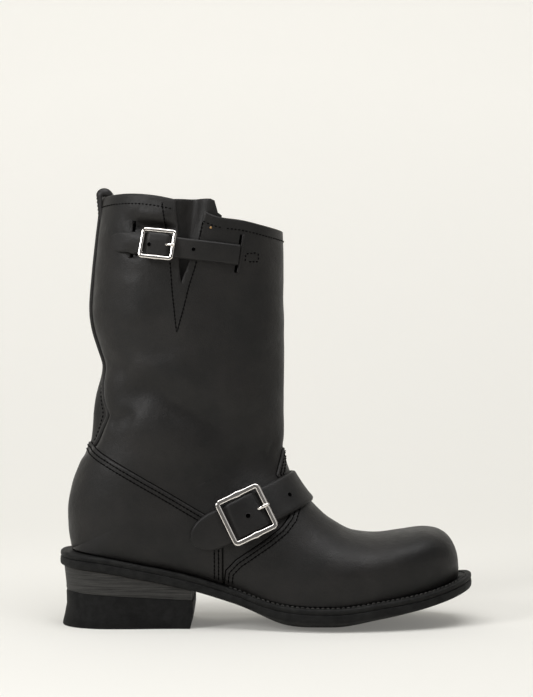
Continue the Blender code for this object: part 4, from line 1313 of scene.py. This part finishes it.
def build_pull_loop(skin, looks):
    """Leather loop over the back of the collar, from the outside over the edge to the inside."""
    rim = skin.values[skin.rim][:, PLACE]
    behind = rim[rim[:, 0] < 0.0]
    order = np.argsort(behind[:, 1])
    behind = behind[order]
    top = float(behind[:, 2].max())
    lean = -0.02
    arch = (WALL + 0.0016) / 2
    path = [(0.0, -LOOP_DROP)] + [(0.0, -LOOP_DROP * (1 - i / 8)) for i in range(1, 8)]
    path += [(math.pi * i / 20, 0.0) for i in range(21)]
    path += [(math.pi, -LOOP_DROP * 0.75 * i / 7) for i in range(1, 8)]
    profile = []
    for k in range(15):
        c = -1 + 2 * k / 14
        shoulder = max(0.0, (abs(c) - 0.8) / 0.2)
        profile.append((c, 1 - 0.6 * shoulder ** 2))
    profile += [(1.0, 0.1), (0.9, 0.0), (0.0, 0.0), (-0.9, 0.0), (-1.0, 0.1)]
    points = []
    for turn, drop in path:
        for c, high in profile:
            y = c * LOOP_WIDTH / 2
            x = float(np.interp(y, behind[:, 1], behind[:, 0])) + WALL / 2 - arch * math.cos(turn) + drop * lean
            z = top + LOOP_SEAT + drop + LOOP_HIGH * math.sin(turn)
            thick = LOOP_THICK * high * (0.6 + 0.4 * math.sin(turn)) * (1 + 0.35 * drop / LOOP_DROP)
            points.append((x - math.cos(turn) * thick, y, z + math.sin(turn) * thick))
    count = len(profile)
    rings = []
    for i in range(len(path) - 1):
        for k in range(count):
            a = i * count + k
            b = i * count + (k + 1) % count
            rings.append([a, b, b + count, a + count])
    rings.append(list(range(count)))
    rings.append([(len(path) - 1) * count + k for k in range(count)])
    present(make("boot_pull_loop", points, rings, [looks["strap"]], sharp=60), "strap_leather", "pull_loop")
    threads = []
    faces = []
    for y in (-0.0062, 0.0062):
        x = float(np.interp(y, behind[:, 1], behind[:, 0]))
        line = np.array([
            [x + WALL / 2 - arch - 0.6 * LOOP_THICK * (1 + 0.35 * drop / LOOP_DROP) + drop * lean, y, top + drop, -1, 0, 0]
            for drop in (-0.0155, -0.010, -0.005, 0.001)
        ])
        stitch_faces(resample(line, 0.0027), 0.0019, 0.0006, 0.0, threads, faces)
    present(make("boot_loop_stitches", threads, faces, [looks["thread"]], tidy=False), "strap_leather")


def spread(first, last, count, ease_first=True, ease_last=True):
    """Stations from first to last, closer together at the rounded ends."""
    found = []
    for i in range(count + 1):
        t = i / count
        if ease_first and ease_last:
            t = (1 - math.cos(math.pi * t)) / 2
        elif ease_first:
            t = 1 - math.cos(math.pi / 2 * t)
        found.append(first + (last - first) * t)
    return found


def plate(name, stations, levels, bottom_rise, slots, sides_mark=0, across=24, sharp=35):
    """Plate under the foot: rings of its edge from the bottom up, closed by a bottom and a top.

    Each level is (height function of x, inset); bottom_rise(x, u) lowers the bottom inside its edge.
    """
    points = []
    rows = []
    for height, inset in levels:
        row = []
        for share in stations:
            x, outer = outline(share, -1, inset)
            row.append((x, outer, outline(share, 1, inset)[1], height(x)))
        rows.append(row)
    index = []
    for row in rows:
        line = []
        for x, outer, inner, z in row:
            points.append((x, outer, z))
            points.append((x, inner, z))
            line.append((len(points) - 2, len(points) - 1))
        index.append(line)
    rings = []
    marks = []
    last = len(stations) - 1
    for a, b in zip(index, index[1:]):
        for i in range(last):
            for s in (0, 1):
                rings.append([a[i][s], a[i + 1][s], b[i + 1][s], b[i][s]])
                marks.append(sides_mark)
    for k, fall in ((0, bottom_rise), (len(rows) - 1, None)):
        grid = []
        for i, (x, outer, inner, z) in enumerate(rows[k]):
            line = [index[k][i][0]]
            for j in range(1, across):
                u = -1 + 2 * j / across
                low = fall(x, u) if fall else 0.0
                points.append((x, outer + (inner - outer) * j / across, z - low))
                line.append(len(points) - 1)
            line.append(index[k][i][1])
            grid.append(line)
        for i in range(last):
            for j in range(across):
                rings.append([grid[i][j], grid[i + 1][j], grid[i + 1][j + 1], grid[i][j + 1]])
                marks.append(len(slots) - 1)
    for i in (0, last):
        for a, b in zip(index, index[1:]):
            count = len(rings)
            rings.append([a[i][0], a[i][1], b[i][1], b[i][0]])
            marks += [sides_mark] * (len(rings) - count)
    keep_ends = []
    keep_marks = []
    for ring, mark in zip(rings, marks):
        spots = {tuple(round(v * 1e7) for v in points[k]) for k in ring}
        if len(spots) > 2:
            keep_ends.append(ring)
            keep_marks.append(mark)
    return make(name, points, keep_ends, slots, keep_marks, sharp=sharp)


def same(depth):
    return (depth, depth, depth)


def build_sole(looks):
    """Outsole, welt with its stitches, and insole, with softened edges."""
    stations = spread(0.0, 1.0, 150)

    def above(offset):
        return lambda x: edge_height(x) + offset

    def crown_fall(x, u):
        flat = 0.42
        t = max(0.0, (abs(u) - flat) / (1 - flat))
        return read_table(EDGE, 2, (x + REAR) / LENGTH) * BALL_CROWN * (1 - t * t)

    thick = OUTSOLE_THICK
    levels = [
        (above(0.0002), same(0.0007)),
        (above(0.0009), same(0.0002)),
        (above(thick * 0.5), same(0.0)),
        (above(thick - 0.0007), same(0.0003)),
        (above(thick), same(0.0010)),
    ]
    outsole = plate("boot_outsole", stations, levels, crown_fall, [looks["edge"], looks["tread"]])
    present(outsole, "sole_rubber", "outsole")

    band_top = thick + GAP + WELT_THICK
    levels = [
        (above(thick + GAP * 0.4), same(0.0008)),
        (above(thick + 0.0011), same(0.0002)),
        (above(band_top - 0.0009), same(0.0004)),
        (above(band_top - 0.0002), same(0.0012)),
        (above(band_top), same(0.0022)),
        (above(band_top - 0.0002), same(0.0040)),
        (above(band_top - 0.0004), same(0.0052)),
        (above(band_top), same(0.0066)),
        (above(band_top), same(WELT_WIDTH)),
        (above(thick + GAP * 0.4), same(WELT_WIDTH)),
    ]
    points = []
    rings = []
    loop = [(s, -1) for s in stations] + [(s, 1) for s in reversed(stations[1:-1])]
    for share, side in loop:
        for height, inset in levels:
            x, y = outline(share, side, inset)
            points.append((x, y, height(x)))
    count = len(levels)
    for i in range(len(loop)):
        for k in range(count):
            a = i * count + k
            b = i * count + (k + 1) % count
            c = ((i + 1) % len(loop)) * count + (k + 1) % count
            d = ((i + 1) % len(loop)) * count + k
            rings.append([a, b, c, d])
    present(make("boot_welt", points, rings, [looks["welt"]], sharp=50), "welt_leather", "welt")

    line = []
    for share, side in loop:
        if share > 0.40:
            x, y = outline(share, side, same(0.0046))
            line.append((x, y, edge_height(x) + band_top - 0.0003, 0.0, 0.0, 1.0, side))
    threads = []
    faces = []
    outer = [spot[:6] for spot in line if spot[6] < 0]
    inner = [spot[:6] for spot in line if spot[6] > 0]
    stitch_faces(resample(np.array(outer + inner), 0.0036), 0.0027, 0.0009, 0.0002, threads, faces)
    present(make("boot_welt_stitches", threads, faces, [looks["welt_thread"]], tidy=False), "welt_leather")

    side = WELT_WIDTH + 0.0012
    inset = (max(side, SHOW_HEEL + WALL + 0.0012), side, max(side, SHOW_TOE + WALL + 0.0012))
    seat_top = thick + WELT_THICK + 2 * GAP + SEAT_ROOM + INSOLE_THICK
    softer = tuple(v + 0.001 for v in inset)
    levels = [
        (above(thick + GAP + SEAT_ROOM), inset), (above(seat_top - 0.0006), inset), (above(seat_top), softer)
    ]
    insole = plate("boot_insole", spread(0.0, 1.0, 60), levels, lambda x, u: 0.0, [looks["lining"]], across=8)
    present(insole, "lining_leather", "insole")


def build_heel(looks):
    stations = spread(0.0, HEEL_END, 60, True, False)
    start = forward(0.0)
    end = forward(HEEL_END)

    def joint(x):
        return LIFT_BACK + (LIFT_FRONT - LIFT_BACK) * (x - start) / (end - start)

    def between(share, low_at, high_at):
        return lambda x: low_at(x) * (1 - share) + high_at(x) * share

    def seat(x):
        return edge_height(x) - GAP * 0.5

    def below(x):
        return joint(x) - GAP * 0.5

    def floor(x):
        return 0.0

    waist = HEEL_INSET + HEEL_FLARE
    levels = []
    for share, depth in ((0.0, waist + 0.0004), (0.06, waist), (0.3, waist - 0.0002), (0.6, waist - 0.0008),
                         (0.9, HEEL_INSET + 0.0002), (0.97, HEEL_INSET), (1.0, HEEL_INSET + 0.0004)):
        levels.append((between(share, joint, seat), same(depth)))
    stack = plate("boot_heel_stack", stations, levels, lambda x, u: 0.0, [looks["stack"]], across=10)
    present(stack, "heel_leather", "heel_stack")
    levels = []
    foot = HEEL_INSET - HEEL_FLARE
    for share, depth in ((0.0, 0.0008), (0.03, 0.0002), (0.3, 0.0004), (0.6, 0.0007), (0.93, 0.0), (1.0, 0.0005)):
        back = foot + (waist - foot) * min(1.0, share * 1.4) ** 0.7 + depth
        side = waist + depth * 0.6
        levels.append((between(share, floor, below), (back, side, HEEL_INSET + depth)))
    lift = plate("boot_heel_lift", stations, levels, lambda x, u: 0.0, [looks["lift"]], across=10)
    present(lift, "sole_rubber", "heel_lift")


class Look:
    """A procedural material, put together node by node."""

    def __init__(self, name, colour, roughness, metallic=0.0, coat=0.0, shine=0.25):
        self.material = bpy.data.materials.new(name)
        self.material.use_nodes = True
        self.nodes = self.material.node_tree.nodes
        self.links = self.material.node_tree.links
        self.shader = self.nodes["Principled BSDF"]
        self.shader.inputs["Base Color"].default_value = (*colour, 1.0)
        self.shader.inputs["Roughness"].default_value = roughness
        self.shader.inputs["Metallic"].default_value = metallic
        self.shader.inputs["Coat Weight"].default_value = coat
        self.shader.inputs["Coat Roughness"].default_value = 0.30
        self.shader.inputs["Specular IOR Level"].default_value = shine
        self.material.diffuse_color = (*colour, 1.0)
        self.place = self.nodes.new("ShaderNodeTexCoord").outputs["Object"]
        self.bump = None

    def stretch(self, scale):
        mapping = self.nodes.new("ShaderNodeMapping")
        mapping.inputs["Scale"].default_value = scale
        self.links.new(self.place, mapping.inputs["Vector"])
        return mapping.outputs["Vector"]

    def noise(self, scale, detail=4.0, rough=0.55, stretch=None):
        texture = self.nodes.new("ShaderNodeTexNoise")
        texture.inputs["Scale"].default_value = scale
        texture.inputs["Detail"].default_value = detail
        texture.inputs["Roughness"].default_value = rough
        self.links.new(self.stretch(stretch) if stretch else self.place, texture.inputs["Vector"])
        return texture.outputs["Fac"]

    def cells(self, scale, feature="F1"):
        texture = self.nodes.new("ShaderNodeTexVoronoi")
        texture.feature = feature
        texture.inputs["Scale"].default_value = scale
        self.links.new(self.place, texture.inputs["Vector"])
        return texture.outputs["Distance"]

    def span(self, value, low_in, high_in, low_out, high_out):
        ramp = self.nodes.new("ShaderNodeMapRange")
        ramp.inputs["From Min"].default_value = low_in
        ramp.inputs["From Max"].default_value = high_in
        ramp.inputs["To Min"].default_value = low_out
        ramp.inputs["To Max"].default_value = high_out
        self.links.new(value, ramp.inputs["Value"])
        return ramp.outputs["Result"]

    def colours(self, value, first, second):
        mix = self.nodes.new("ShaderNodeMix")
        mix.data_type = "RGBA"
        mix.inputs["A"].default_value = (*first, 1.0)
        mix.inputs["B"].default_value = (*second, 1.0)
        self.links.new(value, mix.inputs["Factor"])
        self.links.new(mix.outputs["Result"], self.shader.inputs["Base Color"])

    def relief(self, value, distance, strength=1.0):
        bump = self.nodes.new("ShaderNodeBump")
        bump.inputs["Distance"].default_value = distance
        bump.inputs["Strength"].default_value = strength
        self.links.new(value, bump.inputs["Height"])
        if self.bump:
            self.links.new(self.bump, bump.inputs["Normal"])
        self.bump = bump.outputs["Normal"]
        self.links.new(self.bump, self.shader.inputs["Normal"])
        if self.shader.inputs["Coat Weight"].default_value > 0:
            self.links.new(self.bump, self.shader.inputs["Coat Normal"])

    def gloss(self, value, low, high):
        self.links.new(self.span(value, 0.3, 0.7, low, high), self.shader.inputs["Roughness"])


def leather_look(name, dark, light, rough, grain):
    """Black oiled leather: cloudy colour and gloss, and a fine pebble grain."""
    look = Look(name, dark, rough, coat=0.03, shine=0.26)
    look.colours(look.span(look.noise(26.0, 5.0, 0.6), 0.35, 0.68, 0.0, 1.0), dark, light)
    look.gloss(look.noise(60.0, 6.0, 0.62), rough - 0.07, rough + 0.10)
    look.relief(look.noise(170.0, 4.0, 0.6), 0.0011 * grain, 0.35)
    look.relief(look.cells(1150.0), 0.00016 * grain, 0.55)
    look.relief(look.noise(2600.0, 3.0, 0.6), 0.00010 * grain, 0.5)
    return look.material


def lining_look():
    look = Look("boot_lining", (0.030, 0.027, 0.024), 0.85)
    look.colours(look.noise(90.0, 5.0), (0.022, 0.020, 0.018), (0.042, 0.037, 0.032))
    look.relief(look.noise(1300.0, 4.0), 0.00018, 0.6)
    return look.material


def stack_look():
    """Stained leather lifts seen on edge: long thin streaks and fine grinding marks."""
    look = Look("boot_heel_stack_edge", (0.05, 0.05, 0.048), 0.62)
    streaks = look.noise(40.0, 9.0, 0.72, (1.0, 1.0, 22.0))
    look.colours(look.span(streaks, 0.36, 0.66, 0.0, 1.0), (0.014, 0.014, 0.0135), (0.062, 0.060, 0.057))
    look.gloss(streaks, 0.55, 0.75)
    look.relief(streaks, 0.0006, 0.5)
    look.relief(look.noise(700.0, 5.0, 0.6, (1.0, 1.0, 5.0)), 0.0002, 0.6)
    return look.material


def rubber_look(name, dark, light, rough):
    look = Look(name, dark, rough, shine=0.16)
    look.colours(look.span(look.noise(140.0, 7.0, 0.68), 0.4, 0.7, 0.0, 1.0), dark, light)
    look.gloss(look.noise(90.0, 5.0), rough - 0.05, rough + 0.12)
    look.relief(look.noise(420.0, 6.0, 0.66), 0.00045, 0.5)
    look.relief(look.noise(2200.0, 3.0), 0.00012, 0.5)
    return look.material


def nickel_look():
    look = Look("boot_nickel", (0.84, 0.80, 0.76), 0.10, metallic=1.0, shine=0.5)
    look.gloss(look.noise(210.0, 5.0), 0.06, 0.14)
    look.relief(look.noise(420.0, 4.0), 0.00005, 0.4)
    return look.material


# Matte flecked colour for thread, also used for the strips of painted shade along the seams
def thread_and_shade_look(name, dark, light, shine=0.04):
    look = Look(name, dark, 0.85, shine=shine)
    look.colours(look.noise(900.0, 3.0), dark, light)
    look.relief(look.noise(3800.0, 2.0, 0.5, (1.0, 1.0, 1.0)), 0.0002, 0.7)
    return look.material


def all_looks():
    # Black painted shade for the depth of the strap holes and the openings of the collar strap's slots
    dark = Look("boot_pit", (0.0008, 0.0008, 0.0008), 1.0, shine=0.0)
    dark.relief(dark.noise(2000.0), 0.0001, 0.4)
    brass = Look("boot_brass", (0.42, 0.25, 0.11), 0.35, metallic=1.0)
    brass.gloss(brass.noise(900.0), 0.28, 0.45)
    return {
        "leather": leather_look("boot_leather", (0.0073, 0.0070, 0.0068), (0.0146, 0.0132, 0.0124), 0.50, 1.0),
        "strap": leather_look("boot_strap_leather", (0.0078, 0.0074, 0.0073), (0.0146, 0.0134, 0.0127), 0.50, 0.6),
        "lining": lining_look(),
        "thread": thread_and_shade_look("boot_thread", (0.0012, 0.0012, 0.0012), (0.003, 0.003, 0.003)),
        "welt_thread": thread_and_shade_look("boot_welt_thread", (0.040, 0.039, 0.037), (0.10, 0.098, 0.092), 0.2),
        "welt": rubber_look("boot_welt_edge", (0.006, 0.006, 0.006), (0.016, 0.016, 0.015), 0.60),
        "edge": rubber_look("boot_sole_edge", (0.006, 0.006, 0.006), (0.015, 0.015, 0.0145), 0.62),
        "tread": rubber_look("boot_sole_tread", (0.010, 0.010, 0.010), (0.026, 0.026, 0.025), 0.70),
        "lift": rubber_look("boot_heel_rubber", (0.005, 0.005, 0.005), (0.012, 0.012, 0.012), 0.68),
        "stack": stack_look(),
        "nickel": nickel_look(),
        "brass": brass.material,
        "dark": dark.material,
        # Painted shade along the seams and overlay edges: a near-black strip colour, not thread or leather
        "painted_shade_strip": thread_and_shade_look("boot_groove", (0.0016, 0.0016, 0.0016), (0.0040, 0.0038, 0.0037)),
    }


def build_stage():
    """Pale floor that curves up into a backdrop."""
    points = []
    rings = []
    profile = [(-12.0, 0.0), (0.6, 0.0)]
    for k in range(1, 25):
        turn = math.pi / 2 * k / 24
        profile.append((0.6 + 1.2 * math.sin(turn), 1.2 * (1 - math.cos(turn))))
    profile.append((1.8, 4.0))
    for x in (-12.0, 12.0):
        for y, z in profile:
            points.append((x, y, z))
    count = len(profile)
    for k in range(count - 1):
        rings.append([k, k + 1, k + 1 + count, k + count])
    look = Look("stage_paper", STAGE_COLOUR, 0.95, shine=0.0)
    look.shader.inputs["Emission Color"].default_value = (*STAGE_GLOW_COLOUR, 1.0)
    tree = look.material.node_tree
    place = tree.nodes.new("ShaderNodeTexCoord")
    away = tree.nodes.new("ShaderNodeVectorMath")
    away.operation = "DISTANCE"
    away.inputs[1].default_value = STAGE_MIDDLE
    tree.links.new(place.outputs["Object"], away.inputs[0])
    glow = look.span(away.outputs["Value"], 0.3, 2.1, *STAGE_GLOW)
    tree.links.new(glow, look.shader.inputs["Emission Strength"])
    floor = make("stage_floor", points, rings, [look.material], tidy=False)


def area_light(name, place, target, size, power, colour=(1.0, 1.0, 1.0)):
    data = bpy.data.lights.new(name, "AREA")
    data.shape = "RECTANGLE"
    data.size = size[0]
    data.size_y = size[1]
    data.energy = power
    data.color = colour
    thing = bpy.data.objects.new(name, data)
    thing.location = place
    way = Vector(target) - Vector(place)
    thing.rotation_euler = way.to_track_quat("-Z", "Y").to_euler()
    bpy.context.scene.collection.objects.link(thing)


def build_lights():
    bpy.context.scene.view_settings.view_transform = "Standard"
    world = bpy.data.worlds.new("studio")
    world.use_nodes = True
    back = world.node_tree.nodes["Background"]
    back.inputs["Color"].default_value = (1.0, 0.99, 0.97, 1.0)
    back.inputs["Strength"].default_value = WORLD_STRENGTH
    bpy.context.scene.world = world
    area_light("top_soft", (0.10, -0.30, 1.20), (0.10, 0.0, 0.08), (1.3, 0.8), 13.5)
    area_light("front_left", (-1.1, -0.9, 0.90), (0.05, 0.0, 0.16), (0.5, 0.5), 12.0)
    area_light("front_right", (1.1, -1.1, 0.80), (0.12, 0.0, 0.10), (0.7, 0.7), 0.9)


def build_camera():
    data = bpy.data.cameras.new("camera")
    data.sensor_fit = "AUTO"
    data.sensor_width = 36.0
    data.lens = 36.0 * 1644 / 697
    data.clip_start = 0.05
    data.clip_end = 20.0
    thing = bpy.data.objects.new("camera", data)
    thing.location = (0.102, -1.2, 0.1995)
    thing.rotation_euler = (math.radians(90), 0.0, 0.0)
    bpy.context.scene.collection.objects.link(thing)
    bpy.context.scene.camera = thing


def main():
    looks = all_looks()
    skin = Skin()
    build_upper(skin, looks)
    build_gusset(skin, looks)
    for name in ("quarter", "vamp"):
        build_overlay(skin, looks, name)
    build_painted_seam_shade(skin, looks)
    build_stitches(skin, looks)
    build_back_seam(skin, looks)
    build_slot(skin, looks)
    build_ankle(skin, looks)
    build_collar_strap(skin, looks)
    build_stud(skin, looks)
    build_pull_loop(skin, looks)
    build_sole(looks)
    build_heel(looks)
    build_stage()
    build_lights()
    build_camera()


main()
